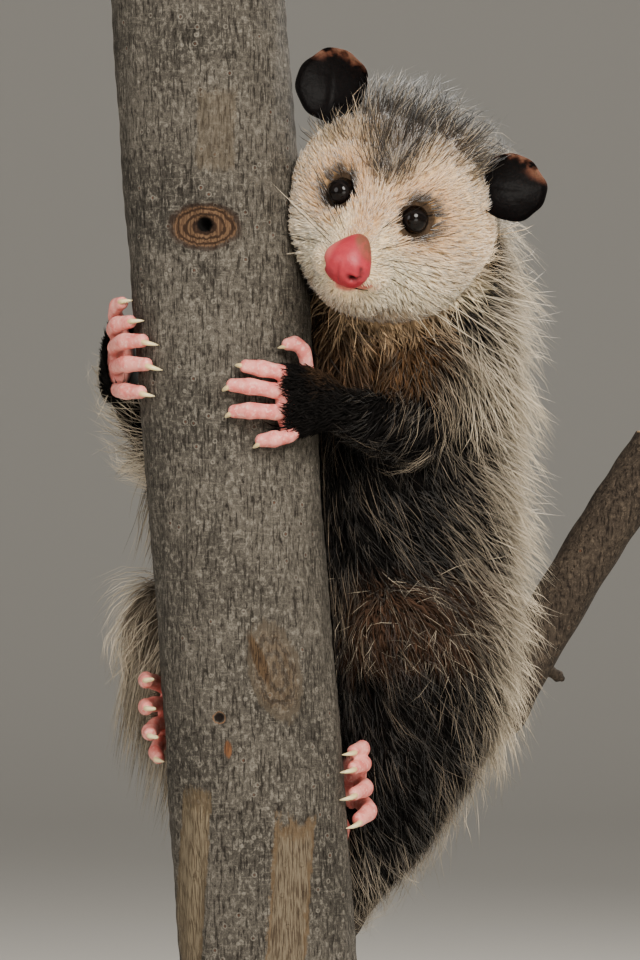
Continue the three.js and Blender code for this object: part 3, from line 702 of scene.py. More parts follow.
def strandMesh(name, strands, material, slot):
    points = strands["points"]
    count, rings = points.shape[:2]
    steps = rings - 1
    along = np.gradient(points, axis=1)
    side = unit(np.cross(strands["facings"], along))
    up = unit(np.cross(along, side))
    share = np.linspace(0, 1, rings)
    half = strands["width"][:, None, None] / 2 * np.interp(share, *strandSetup["breadth"])[None, :, None]
    verts = np.empty((count, 3 * steps + 1, 3))
    for j, (across, rise) in enumerate(strandSetup["corners"]):
        verts[:, j:-1:3] = (points + side * half * across + up * half * rise)[:, :steps]
    verts[:, -1] = points[:, -1]
    ringAlong = np.append(np.repeat(share[:steps], 3), 1)
    faces = [(0, 1, 2)]
    for k in range(steps):
        for j in range(3):
            a, b = 3 * k + j, 3 * k + (j + 1) % 3
            faces.append((b, a, a + 3, b + 3) if k < steps - 1 else (b, a, 3 * steps))
    totals = np.tile([len(face) for face in faces], count)
    loops = (np.arange(count)[:, None] * len(ringAlong) + np.concatenate(faces)).ravel()
    starts = np.concatenate([[0], np.cumsum(totals)[:-1]])
    mesh = bpy.data.meshes.new(name)
    mesh.vertices.add(count * len(ringAlong))
    mesh.vertices.foreach_set("co", (verts * mm).astype(np.float32).ravel())
    mesh.loops.add(len(loops))
    mesh.loops.foreach_set("vertex_index", loops.astype(np.int32))
    mesh.polygons.add(len(starts))
    mesh.polygons.foreach_set("loop_start", starts.astype(np.int32))
    mesh.polygons.foreach_set("use_smooth", np.ones(len(starts), bool))
    mesh.update(calc_edges=True)
    u = strands["spot"][:, 1:2] + strandSetup["patch"] * np.append(np.tile([0, -0.5, 0.5], steps), 0)
    v = strands["spot"][:, 2:] + strandSetup["patch"] * (ringAlong - 0.5)
    uvs = np.stack([u, v], -1).reshape(-1, 2)[loops]
    mesh.uv_layers.new(name="OFBake").data.foreach_set("uv", uvs.astype(np.float32).ravel())
    piece = linked(name, mesh)
    layer(piece, "along", np.tile(ringAlong, count))
    layer(piece, "strand", np.repeat(strands["random"], len(ringAlong)))
    paint(piece, "rootTint", np.repeat(strands["root"], len(ringAlong), axis=0))
    paint(piece, "tipTint", np.repeat(strands["tip"], len(ringAlong), axis=0))
    finishPiece(piece, slot, material)


def strandPieces(name, strands, material, slot):
    # cut by place, so that each piece has less than the most triangles
    perStrand = 6 * (strands["points"].shape[1] - 1) - 2
    order = np.argsort(strands["spot"][:, 0] * 10 + strands["spot"][:, 2], kind="stable")
    parts = math.ceil(len(order) / (strandSetup["most"] // perStrand))
    for part in range(parts):
        chosen = order[len(order) * part // parts:len(order) * (part + 1) // parts]
        label = name if parts == 1 else f"{name}_{part + 1}"
        strandMesh(label, {key: value[chosen] for key, value in strands.items()}, material, slot)


def together(batches):
    return {key: np.concatenate([batch[key] for batch in batches]) for key in batches[0]}


def tintsOf(kind, root, random):
    # the colours of each strand's root and tip
    under, tip, some = underColour(root), guardColour(root), random[:, None]
    if kind == "dark":
        return under, under * (1 + 1.2 * some ** 3)
    if kind == "grey":
        level = 0.02 + 0.16 * some ** 2 + 0.5 * backness(root)[:, None]
        return under, blend(np.maximum(palette["grey"] * level, under), tip, headMask(root))
    if kind == "guard":
        return under, tip * (0.7 + 0.3 * some)
    if kind == "pale":
        return under, palette["ivory"] * (0.2 + 0.55 * some)
    if kind == "crown":
        # grizzled: dark hairs among pale-tipped ones
        pale = tip * 0.45 + palette["ivory"] * 0.22
        return tip * 0.35, blend(palette["black"] * 1.5, pale, smooth(0.55, 0.8, random))
    if kind == "ruff":
        throat = blend(tip, palette["bib"] * 0.7, 0.8 * smooth(-14, -24, headLocal(root)[:, 2]))
        return throat * 0.8, throat
    return tip * 0.92, tip


def strandSet(plan, rng, kept, random, points, facings, root, spot):
    random, points, facings, root, spot = (values[kept] for values in (random, points, facings, root, spot))
    under, tip = tintsOf(plan["tint"], root, random)
    width = plan["width"] * (1 + 0.3 * rng.uniform(-1, 1, len(root)))
    return {"points": clearTrunk(points), "facings": facings, "width": width, "spot": spot, "random": random,
            "root": under, "tip": tip}


def clearOfEyes(points, room):
    away = [(farFrom(points, eye) > eyeSetup["radius"] + room).all(1) for eye in eyeCentres.values()]
    return np.all(away, axis=0)


def growAlong(form, plan, keep=None):
    # clumps of strands rooted evenly over a stretch of a form and part of its round
    rng = np.random.default_rng(plan["seed"])
    centres = plan["count"] // plan["clump"]
    u, angle = np.empty(0), np.empty(0)
    widest = form["sizes"].sum(1).max()
    while len(u) < centres:
        someU = rng.uniform(*plan["stretch"], centres)
        someAngle = np.radians(rng.uniform(*plan["round"], centres))
        chosen = rng.uniform(0, 1, centres) < framesAt(form, someU)[4].sum(1) / widest
        u, angle = np.append(u, someU[chosen]), np.append(angle, someAngle[chosen])
    u, angle = (np.repeat(values[:centres], plan["clump"]) for values in (u, angle))
    du = rng.normal(0, plan["spread"], len(u)) / form["length"]
    da = rng.normal(0, plan["spread"], len(u)) / framesAt(form, u)[4].mean(1)
    u, angle = u + du, angle + da
    length = plan["length"] * (1 + plan["vary"] * rng.uniform(-1, 1, len(u)))
    rise = plan["sink"] + plan["lift"] * (1 + 0.45 * rng.uniform(-1, 1, len(u)))
    drift = rng.normal(0, plan["wander"], len(u)) * length / framesAt(form, u)[4].mean(1)
    curl = rng.normal(0, plan["curl"], (len(u), 3))
    root = surfaceAt(form, u, angle, plan["skin"])[0]
    drawn = surfaceAt(form, u - 0.6 * du, angle - 0.6 * da, plan["skin"])[0] - root
    points = np.empty((len(u), plan["steps"] + 1, 3))
    facings = np.empty_like(points)
    for k, s in enumerate(np.linspace(0, 1, plan["steps"] + 1)):
        push = plan["skin"] - plan["sink"] + rise * math.sin(s * math.pi / 2) ** 0.8
        at, facings[:, k] = surfaceAt(form, u + s * length / form["length"], angle + drift * s, push)
        points[:, k] = at + curl * s ** 1.7 + drawn * s ** 1.3
    kept = (fromAxis(root) > trunk["radius"] + plan["room"]) & clearOfEyes(points, 0.7)
    if keep:
        kept &= keep(root, points)
    random = np.empty(len(u))
    random[kept] = rng.uniform(0, 1, kept.sum())
    return strandSet(plan, rng, kept, random, points, facings, root, spotOn(form, angle, np.clip(u, 0, 1)))


def strandGroup():
    # root colour to tip colour along each strand, every strand a little lighter or darker
    sockets = {"Root End": "Float", "Tip Start": "Float", "Least": "Float"}
    group, given, result = newGroup("strand shade", sockets, {"Colour": "Color", "Normal": "Vector"})
    share = ramp(group, meshLayer(group, "along"), given["Root End"], given["Tip Start"])
    root, tip = (meshLayer(group, name, "Color") for name in ("rootTint", "tipTint"))
    level = addNode(group, "MapRange", Value=meshLayer(group, "strand"), To_Min=given["Least"], To_Max=1.12)
    grain = noise(group, (3000, 3000, 700), 2.0)
    plug(group, result, Colour=brightened(group, mixColour(group, share, root, tip), level.outputs[0]),
         Normal=bumpFrom(group, grain, 0.3, 0.1))
    return group


strandShade = strandGroup()


def strandMaterial(name, rootEnd, tipStart, roughness, sheen=0.0, gloss=0.12, least=0.72):
    values = {"Roughness": roughness, "Specular_IOR_Level": gloss, "Sheen_Weight": sheen}
    material, tree, shader = newMaterial(name, **values)
    shade = useGroup(tree, strandShade, Root_End=rootEnd, Tip_Start=tipStart, Least=least)
    plug(tree, shader, Base_Color=shade["Colour"], Normal=shade["Normal"])
    return material


# Ears stand where these say; the fur in front of them is left out
earSetup = {
    "left": {"base": [53, -27, 421.5], "tip": [80.5, -20, 425.5], "width": 25, "facing": [0.15, -0.96, 0.2],
             "glow": (0.6, -0.75)},
    "right": {"base": [7.5, -19, 447], "tip": [2, -15, 474], "width": 26.5, "facing": [-0.2, -0.96, 0.1],
              "glow": (0.85, 0.45)},
}


def earAxes(side):
    root, tip, facing = (np.array(earSetup[side][key], float) for key in ("base", "tip", "facing"))
    height = np.linalg.norm(tip - root)
    up = (tip - root) / height
    front = unit(squareTo(facing, up))
    return root, up, front, np.cross(up, front), height


def overEar(points, reach, foot):
    hidden = np.zeros(points.shape[:-1], bool)
    for side in earSetup:
        root, up, front, across, height = earAxes(side)
        off = points - root
        rise = (off @ up - height / 2) / (height / 2)
        breadth = off @ across / (earSetup[side]["width"] / 2)
        hidden |= (np.hypot(rise, breadth) < reach) & (rise > foot) & (np.abs(off @ front - 6) < 16)
    return hidden


# Coat of the body: rooted on the fused skin, each clump following the lie of the fur there
coatParts = [("body", "left", bodyForm), *((name, side, form) for (side, name), form in limbs.items())]
kinds = {
    "body": {"length": 1.0, "guard": 1.0}, "upper_arm": {"length": 0.8, "guard": 0.45},
    "forearm": {"length": 0.6, "guard": 0.06}, "thigh": {"length": 0.95, "guard": 0.75},
    "shin": {"length": 0.75, "guard": 0.2},
}
hanging = {"left": [0.3, -0.05, -1], "right": [-0.45, 0.0, -1]}


def lieOfFur(points, normals):
    # the way the fur lies, how long and how pale-haired it is, and its spot on the bake map
    way, spot = np.zeros((len(points), 3)), np.zeros((len(points), 3))
    length, guard = np.zeros(len(points)), np.zeros(len(points))
    total, best = np.full(len(points), 1e-9), np.full(len(points), 1e9)
    for kind, side, form in coatParts:
        share, off, (along, outward, across, sizes) = nearestStation(form, points)
        a, b = (off * across).sum(1) / sizes[:, 0], (off * outward).sum(1) / sizes[:, 1]
        beyond = np.maximum(np.abs((off * along).sum(1)) - 0.6 * sizes.min(1), 0)
        gap = np.abs(np.hypot(a, b) - 1) * sizes.mean(1) + beyond
        weight = bell(gap, 6) + 1e-6 / (1 + gap)
        angle = np.arctan2(b, a)
        if kind == "body":
            towardsBack = outward * np.cos(angle)[:, None] - across * np.sin(angle)[:, None]
            lie = along + towardsBack * (1.05 * np.cos(angle))[:, None]
        elif kind in ("thigh", "shin"):
            lie = hanging[side] + 0.5 * unit(points - np.array(joints[side]["knee"]))
        else:
            lie = along + [0.1, 0, -0.25]
        way += lie * weight[:, None]
        total += weight
        length += weight * kinds[kind]["length"]
        guard += weight * kinds[kind]["guard"]
        closer = gap < best
        best = np.where(closer, gap, best)
        spot[closer] = spotOn(form, angle, share)[closer]
    short = 1 - 0.55 * headMask(points)
    return unit(squareTo(way, normals)), length / total * short, guard / total * short, spot


hairColumns = (
    "seed", "count", "tries", "clump", "spread", "length", "width", "lift", "vary", "wander", "steps", "curl",
    "draw", "free", "droop", "sink", "tint",
)
hairs = {
    "underfur": (21, 31500, 2, 3, 1.4, 12, 1.0, 3.8, 0.3, 0.24, 2, 0.6, 0.6, 0.25, 0.8, 0.8, "dark"),
    "middle": (22, 19000, 2, 3, 1.5, 18, 0.26, 5.6, 0.3, 0.26, 2, 0.8, 0.6, 0.35, 0.8, 0.8, "grey"),
    "guard": (23, 16000, 5, 5, 2.2, 27, 0.2, 8, 0.45, 0.24, 3, 1.1, 0.5, 0.45, 0.8, 0.8, "guard"),
    "fringe": (24, 6600, 8, 11, 3.2, 28, 0.33, 14.5, 0.3, 0.26, 3, 0.7, 0.95, 0.75, 0.8, 0.8, "guard"),
    "skirt": (25, 5200, 40, 5, 3.0, 44, 0.32, 8, 0.5, 0.2, 3, 2.2, 0.4, 0.93, 0, 0.8, "pale"),
    "knee": (26, 300, 60, 2, 3.0, 15, 0.17, 5, 0.5, 0.6, 3, 2.0, 0.2, 0.5, 0.8, 0.8, "pale"),
    "throat": (27, 1500, 60, 4, 2.5, 21, 0.8, 10, 0.3, 0.5, 3, 1.2, 0.3, 0.8, 0.8, 0.8, "dark"),
    "face": (31, 37000, 2, 3, 0.5, 8.8, 0.42, 2.9, 0.3, 0.13, 2, 0.2, 0.3, 0.15, 0, 0.6, "face"),
    "crown": (32, 8400, 12, 3, 1.1, 15, 0.27, 12, 0.3, 0.28, 2, 0.9, 0.6, 0.35, 0, 0.8, "crown"),
}


def growOver(piece, tree, kind, where=None, pale=False, hang=None, keep=None, lieOf=lieOfFur):
    # strands that walk over a skin from their roots, in clumps that draw together at the tips
    plan = dict(zip(hairColumns, hairs[kind]))
    rng = np.random.default_rng(plan["seed"])
    mesh = piece.data
    mesh.calc_loop_triangles()
    corners = np.empty(len(mesh.loop_triangles) * 3, np.int32)
    mesh.loop_triangles.foreach_get("vertices", corners)
    triangles = vertexPlaces(piece)[corners.reshape(-1, 3)].astype(float)
    sides = np.cross(triangles[:, 1] - triangles[:, 0], triangles[:, 2] - triangles[:, 0])
    areas = np.linalg.norm(sides, axis=1)
    clump, steps = plan["clump"], plan["steps"]
    chosen = rng.choice(len(areas), plan["count"] * plan["tries"] // clump, p=areas / areas.sum())
    a, b = np.sort(rng.uniform(0, 1, (2, len(chosen))), axis=0)
    centres = sum(triangles[chosen, i] * share[:, None] for i, share in enumerate((a, b - a, 1 - b)))
    normals = unit(sides[chosen])
    way, share, guard, spot = lieOf(centres, normals)
    rooted = fromAxis(centres) > trunk["radius"] + 0.3
    if not keep:
        rooted &= ~insideForm(headForm, centres, -5)
    if where:
        rooted &= where(*centres.T, centres)
    if pale:
        rooted &= rng.uniform(0, 1, len(centres)) < guard * (0.05 + 0.95 * backness(centres))
    member = np.repeat(np.nonzero(rooted)[0][:plan["count"] // clump], clump)
    count = len(member)
    shift = squareTo(rng.normal(0, plan["spread"], (count, 3)), normals[member])
    root, normal = nearestSkin(tree, centres[member] + shift)
    length = plan["length"] * share[member] * (1 + plan["vary"] * rng.uniform(-1, 1, count))
    clumpTurn = rng.normal(0, plan["wander"], len(centres))[member]
    turn = (clumpTurn + rng.normal(0, plan["wander"] * 0.5, count))[:, None]
    heading = way[member] * np.cos(turn) + np.cross(normal, way[member]) * np.sin(turn)
    rise = plan["lift"] * share[member] * (1 + 0.45 * rng.uniform(-1, 1, count))
    step = (length / steps)[:, None]
    points = np.empty((count, steps + 1, 3))
    facings = np.empty_like(points)
    points[:, 0], facings[:, 0] = root - normal * plan["sink"], normal
    free, onSkin = root + normal * 0.2, root
    for k in range(1, steps + 1):
        s = k / steps
        onSkin, normal = nearestSkin(tree, onSkin + heading * step)
        free = free + (unit(np.array(hang)) if hang else heading + normal * (rise / length)[:, None]) * step
        free[:, 2] -= plan["droop"] * s
        close = onSkin + normal * (rise * math.sin(s * math.pi / 2) ** 0.8)[:, None]
        points[:, k] = close + (free - close) * plan["free"]
        facings[:, k] = normal
        heading = unit(squareTo(heading, normal))
    ease = np.linspace(0, 1, steps + 1)[None, :, None]
    points += (centres[member] - root)[:, None] * plan["draw"] * ease ** 1.3
    points += rng.normal(0, plan["curl"], (count, 1, 3)) * ease ** 1.7
    points += rng.normal(0, plan["curl"] * 0.25, (count, steps + 1, 3)) * ease
    random = rng.uniform(0, 1, count)
    kept = keep(root, points) & clearOfEyes(points, 1.2) if keep else ~overEar(points, 1.0, -1.0).any(1)
    return strandSet(plan, rng, kept, random, points, facings, root, spot[member])


# The knee and throat hair fills what lies beside the trunk; the skirt hangs from the far leg and rump
underfur = growOver(body, bodyTree, "underfur")
middleHair = growOver(body, bodyTree, "middle")
guardHair = together([
    growOver(body, bodyTree, "guard", pale=True),
    growOver(body, bodyTree, "fringe", where=lambda x, y, z, spots: backness(spots) > 0.55),
    growOver(body, bodyTree, "knee", where=lambda x, y, z, spots: kneeMask(spots) > 0.4),
    growOver(body, bodyTree, "throat", where=lambda x, y, z, _: (x < 12) & (z > 366) & (z < 404) & (y < 45)),
    growOver(body, bodyTree, "skirt", where=lambda x, y, z, _: (x < -30) & (z > 212) & (z < 325),
             hang=[-0.2, 0.03, -1]),
])
furUnder = strandMaterial("underfur", 0.2, 0.95, 0.8)
furGuard = strandMaterial("guard hair", 0.15, 0.6, 0.5, 0.1, 0.2)
strandPieces("coat_underfur", underfur, furUnder, "coat")
strandPieces("coat_middle", middleHair, furGuard, "coat")
strandPieces("coat_guard", guardHair, furGuard, "coat")
print("body coat grown:", *(len(hair["width"]) for hair in (underfur, middleHair, guardHair)), "strands")

# Face: short dense fur that lies back from the nose, longer on cheeks, chin and crown
mouthSetup = {
    "line": np.array([
        (0, -31.5, -23.2), (2.6, -30.6, -23.9), (6, -26, -24.2), (9, -20, -24.4), (11.6, -14, -24.4),
    ]),
    "thick": 0.5, "room": 1.3,
}
noseSetup = {
    "at": np.array([0, -33.6, -13.2]), "size": np.array([8.7, 6.6, 9.6]), "turn": -17,
    "nostril": np.array([5.4, -4.4, -4.0]), "pit": 3.6, "reach": 1.3,
    "slit": [(0, 0), (1.3, 0.1), (2.2, 1.3), (2.3, 3.2), (1.9, 4.8)],
}
mouthLines = [
    nearestSkin(headTree, inHead(throughKeys(mouthSetup["line"] * [sign, 1, 1], np.linspace(0, 1, 24))))[0]
    for sign in (1, -1)
]


def lieOfFace(points, normals):
    # back from the nose; short on the muzzle, longest on cheeks, throat and crown
    x, y, z = headLocal(points).T
    way = unit(squareTo(points - inHead([0, -39, -11]), normals))
    share = 0.36 + 0.22 * smooth(-27, -8, y) + 0.3 * smooth(14, 28, np.abs(x)) * smooth(4, -8, z)
    share += 0.55 * smooth(-24, -35, z) + 0.25 * smooth(8, 24, y) * smooth(8, 20, z)
    return way, share, None, spotOn(headForm, np.arctan2(z + 10, x), np.clip((y + 36) / 84, 0, 1))


def lieOfCrown(points, normals):
    way, _, guard, spot = lieOfFace(points, normals)
    return way, 0.42 + 0.68 * crownMask(points), guard, spot


def offFeatures(root, points):
    # clear of nose, ears and mouth
    clear = (((headLocal(root) - noseSetup["at"]) / (noseSetup["size"] + 0.2)) ** 2).sum(1) > 1
    clear &= (((headLocal(points) - noseSetup["at"]) / noseSetup["size"]) ** 2).sum(-1).min(1) > 1
    clear &= ~overEar(points, 0.72, -0.42).any(1)
    for spot in np.concatenate(mouthLines):
        clear &= farFrom(root, spot) > mouthSetup["room"]
    return clear & (lipMask(root) < 0.4)


headPush = -skinSetup["headInset"]
ruffPlan = {
    "seed": 33, "count": 1500, "stretch": (0.55, 0.92), "round": (180, 360), "length": 9, "vary": 0.45,
    "width": 0.26, "lift": 4.0, "wander": 0.2, "clump": 3, "spread": 1.2, "steps": 2, "skin": headPush,
    "curl": 0.7, "sink": 1.0, "room": -2, "tint": "ruff",
}
faceFur = growOver(head, headTree, "face", keep=offFeatures, lieOf=lieOfFace)
crownFur = growOver(head, headTree, "crown", lieOf=lieOfCrown,
                    keep=lambda root, points: offFeatures(root, points) & (crownMask(root) > 0.12))
ruffFur = growAlong(headForm, ruffPlan, offFeatures)
faceHair = strandMaterial("face fur", 0.0, 0.7, 0.7, 0.5, 0.15, 0.88)
strandPieces("face_fur", faceFur, faceHair, "face_fur")
strandPieces("crown_fur", together([crownFur, ruffFur]), furGuard, "face_fur")
print("face fur grown:", len(faceFur["width"]), "strands")


# Eyes: a glossy dark ball in a thin dark lid
def eyeMaterial():
    material, tree, shader = newMaterial("eye", Roughness=0.07, Specular_IOR_Level=0.2)
    flecks = speckle(tree, 900, 0.35, 0.75)
    plug(tree, shader, Base_Color=mixColour(tree, flecks, tone(7, 5, 4), tone(20, 12, 8)))
    return material


def darkSkinAndShadeMaterial():
    # the dark skin of the lids, and the painted shade of the mouth's slit
    material, tree, shader = newMaterial("dark skin and shade", Roughness=0.75, Specular_IOR_Level=0.1)
    mottled = mixColour(tree, speckle(tree, 1200, 0.35, 0.7), tone(13, 9, 8), tone(24, 17, 15))
    plug(tree, shader, Base_Color=mottled, Normal=bumpFrom(tree, cells(tree, 2600.0)[0], 0.4, 0.08))
    return material


eyeGloss = eyeMaterial()
darkSkinAndShade = darkSkinAndShadeMaterial()
lidSetup = {"opening": 3.95, "thick": 0.55, "wide": 1.08, "tall": 0.86, "tilt": 12}


def eye(side, sign):
    ball = sphere(48, 32)
    moveVerts(ball, vertsOf(ball) * eyeSetup["radius"] + eyeCentres[side])
    finishPiece(objectFrom(ball, side + "_eyeball"), "eye", eyeGloss, side + "_eye")
    facing = unit(np.array([sign * 0.42, -0.88, 0.18]))
    across = unit(np.cross(facing, [0, 0, 1]))
    tilt = math.radians(lidSetup["tilt"]) * sign
    rim = bmesh.new()
    upright = Matrix.Translation((lidSetup["opening"], 0, 0)) @ Matrix.Rotation(math.pi / 2, 4, "X")
    bmesh.ops.create_circle(rim, segments=8, radius=lidSetup["thick"], matrix=upright)
    loop = rim.verts[:] + rim.edges[:]
    bmesh.ops.spin(rim, geom=loop, axis=(0, 0, 1), angle=2 * math.pi, steps=24, use_merge=True)
    a, b, rise = (vertsOf(rim) * [lidSetup["wide"], lidSetup["tall"], 1]).T
    a, b = a * math.cos(tilt) - b * math.sin(tilt), a * math.sin(tilt) + b * math.cos(tilt)
    far = np.sqrt(np.maximum(0.2, (eyeSetup["radius"] - 0.1) ** 2 - a * a - b * b)) + 0.75 * rise
    onBall = np.stack([a, b, far], 1) @ np.array([across, np.cross(across, facing), facing])
    lid = objectFrom(moveVerts(rim, inHead(onBall + eyeSetup["at"] * [sign, 1, 1])), side + "_lids")
    soften = lid.modifiers.new("soften", "SUBSURF")
    soften.levels = soften.render_levels = 1
    finishPiece(lid, "face_fur", darkSkinAndShade)


for side, sign in signs.items():
    eye(side, sign)


# Nose: a moist pink pad with two nostrils and a shallow groove between them
def noseMaterial():
    material, tree, shader = newMaterial(
        "nose skin", Roughness=0.42, Specular_IOR_Level=0.3, Subsurface_Weight=0.15,
        Subsurface_Radius=(0.004, 0.0015, 0.001),
    )
    blotch = times(tree, speckle(tree, 420, 0.42, 0.66), 0.35)
    colour = mixColour(tree, blotch, meshLayer(tree, "tint", "Color"), tone(186, 60, 66))
    plug(tree, shader, Base_Color=colour, Normal=bumpFrom(tree, cells(tree, 1900.0)[0], 0.35, 0.15))
    return material


def nose():
    pad = sphere(96, 64)
    co = vertsOf(pad)
    # broad and rather square below, drawn up into a narrow wedge along the bridge
    square = np.abs(np.arctan2(co[:, 2], co[:, 0]) % (math.pi / 2) - math.pi / 4)
    co[:, [0, 2]] *= (1 + 0.1 * smooth(0.6, 0, square) * smooth(0.3, -0.4, co[:, 2]))[:, None]
    co[:, 0] *= 1 - 0.3 * smooth(0.0, 1, co[:, 2]) - 0.1 * smooth(-0.3, -1, co[:, 2])
    x, y, z = co.T
    local = co * noseSetup["size"]
    local[:, 1] += 4.2 * smooth(-0.1, 1.1, z) ** 1.3 + 1.6 * smooth(0.3, 1, -z)
    local[:, 1] += 0.8 * bell(local[:, 0], 0.6) * smooth(0.2, 0.9, -y) * smooth(0.3, -0.5, z)
    tint = tone(160, 43, 55) * np.ones((len(co), 1))
    # a paler patch low on the left lobe: painted highlight
    tint = blend(tint, tone(226, 128, 118), 0.6 * smooth(-0.35, -0.85, x) * smooth(-0.6, 0.0, z))
    tint = blend(tint, tone(112, 74, 54), 0.85 * smooth(0.66, 0.8, 0.85 * z + 0.5 * x))
    for sign, aside in ((-1, -1.4), (1, 1)):
        away = local - noseSetup["nostril"] * [aside, 1, 1]
        # the pit, and the slit that curls up and out from it
        pit = np.exp(-(away[:, 0] ** 2 + away[:, 2] ** 2 * 1.3) / noseSetup["reach"] ** 2) * (y < 0.1)
        slit = np.zeros(len(co))
        flat = np.stack([away[:, 0] * sign, away[:, 2]], 1)
        for start, end in zip(noseSetup["slit"], noseSetup["slit"][1:]):
            step, off = np.subtract(end, start), flat - start
            t = np.clip(off @ step / (step @ step), 0, 1)
            slit = np.maximum(slit, np.exp(-(((off - t[:, None] * step) ** 2).sum(1)) / 0.28))
        slit *= y < 0.25
        local -= co * (noseSetup["pit"] * pit + 0.9 * slit)[:, None] * [0.4, 1, 0.4]
        wing = np.exp(-((flat - [3.6, 1.5]) ** 2).sum(1) / 5) * (y < 0.3)
        local += co * (0.8 * wing * (1 - pit) * (1 - slit))[:, None]
        # the pits and slits are darkened as well: painted shade in the nostrils
        tint = blend(tint, tone(60, 20, 20), np.clip(1.5 * pit + 0.8 * slit, 0, 0.97))
    turn = np.array(Matrix.Rotation(math.radians(noseSetup["turn"]), 3, "Z"))
    piece = objectFrom(moveVerts(pad, inHead(local @ turn.T + noseSetup["at"])), "nose_pad")
    paint(piece, "tint", tint)
    finishPiece(piece, "nose_skin", noseMaterial(), "nose")


nose()
# a thin dark tube along each side of the mouth: painted shade in the mouth's slit
mouthParts = []
for line in mouthLines:
    sizes = np.linspace(1, 0.6, 8) * mouthSetup["thick"]
    rows = [[*spot, size] for spot, size in zip(line[::3], sizes)]
    mouthParts.append(wrapSphere(makeForm(rows, (0, -1, 0)), 8, 20, 2))
finishPiece(objectFrom(gather(mouthParts), "mouth_shade_line"), "nose_skin", darkSkinAndShade)
print("eyes, nose and mouth made")

# Ears: thin bare cups with folds, black with pinkish patches at the rim
cupSetup = {"thick": 0.9, "deep": 5}


def earMaterial():
    values = {"Roughness": 0.5, "Specular_IOR_Level": 0.06, "Subsurface_Weight": 0.03}
    material, tree, shader = newMaterial("ear skin", **values)
    dark = mixColour(tree, speckle(tree, 1500, 0.35, 0.7), tone(3, 2, 2), tone(7, 5, 5))
    glow = times(tree, times(tree, meshLayer(tree, "rim"), speckle(tree, 160, 0.4, 0.6)), 0.75)
    veins = addNode(tree, "TexNoise", Vector=objectPlace(tree), Scale=520.0, Detail=5.0)
    wrinkles = bumpFrom(tree, veins.outputs[0], 0.5, 0.5)
    plug(tree, shader, Base_Color=mixColour(tree, glow, dark, tone(126, 82, 66)),
         Normal=bumpFrom(tree, cells(tree, 2400.0)[0], 0.3, 0.06, Normal=wrinkles))
    return material


earSkin = earMaterial()


def ear(side):
    setup = earSetup[side]
    root, up, front, across, height = earAxes(side)
    shell = sphere(96, 48)
    x, y, z = vertsOf(shell).T
    spread, turn = np.hypot(x, y), np.arctan2(y, x)
    rise, breadth = spread * np.sin(turn), spread * np.cos(turn)
    narrow = 1 - 0.3 * np.maximum(0, -rise) ** 2
    lobe = 1 + 0.02 * np.sin(5 * turn + 1) + 0.015 * np.sin(9 * turn)
    depth = z * cupSetup["thick"] / 2 + cupSetup["deep"] * (spread ** 2 - 0.6) - 2 * np.maximum(0, rise) ** 2
    # a low fold runs up from the root, and the rim rolls a little forward
    depth += 0.35 * bell(breadth + 0.1 - 0.3 * rise, 0.08) * smooth(0.7, 0.1, np.abs(rise))
    depth += 0.6 * smooth(0.86, 1.0, spread)
    onEar = np.stack([height / 2 * (1 + rise * lobe), setup["width"] / 2 * breadth * narrow * lobe, depth], 1)
    moveVerts(shell, root + onEar @ np.array([up, across, front]))
    stalk = [(-6, -4, 7, 4), (3, -1.5, 6, 2.4), (8, -2.6, 4, 0.8)]
    rows = [[*(root + up * rise + front * out), wide, deep] for rise, out, wide, deep in stalk]
    stem = wrapSphere(makeForm(rows, front), 24, 12, 3)
    rims = smooth(0.6, 0.95, spread) * smooth(0.5, 0.85, rise * setup["glow"][0] + breadth * setup["glow"][1])
    rims = np.append(rims, np.zeros(len(stem.verts)))
    piece = objectFrom(gather([shell, stem]), side + "_ear_shell")
    layer(piece, "rim", rims)
    finishPiece(piece, "ear_skin", earSkin, side + "_ear")


for side in earSetup:
    ear(side)
print("ears made")

# Whiskers: long stiff hairs on muzzle, brow and cheek; the upper ones dark, the lower ones pale
whiskerSetup = {"rings": 9, "width": 0.24}
whiskerSets = [
    {"seed": 71, "count": 6, "u": (0.12, 0.3), "round": (-35, 25),
     "length": (34, 58), "out": 0.8, "dark": 0.75},
    {"seed": 76, "count": 3, "u": (0.14, 0.28), "round": (30, 62),
     "length": (36, 52), "out": 0.9, "dark": 1.0},
    {"seed": 72, "count": 3, "u": (0.36, 0.42), "round": (38, 60),
     "length": (22, 36), "out": 0.9, "dark": 1.0},
    {"seed": 73, "count": 7, "u": (0.42, 0.6), "round": (-50, -20),
     "length": (34, 60), "out": 0.7, "dark": 0.0},
    {"seed": 74, "count": 4, "u": (0.1, 0.3), "round": (-80, -60),
     "length": (16, 26), "out": 0.6, "dark": 0.0},
]


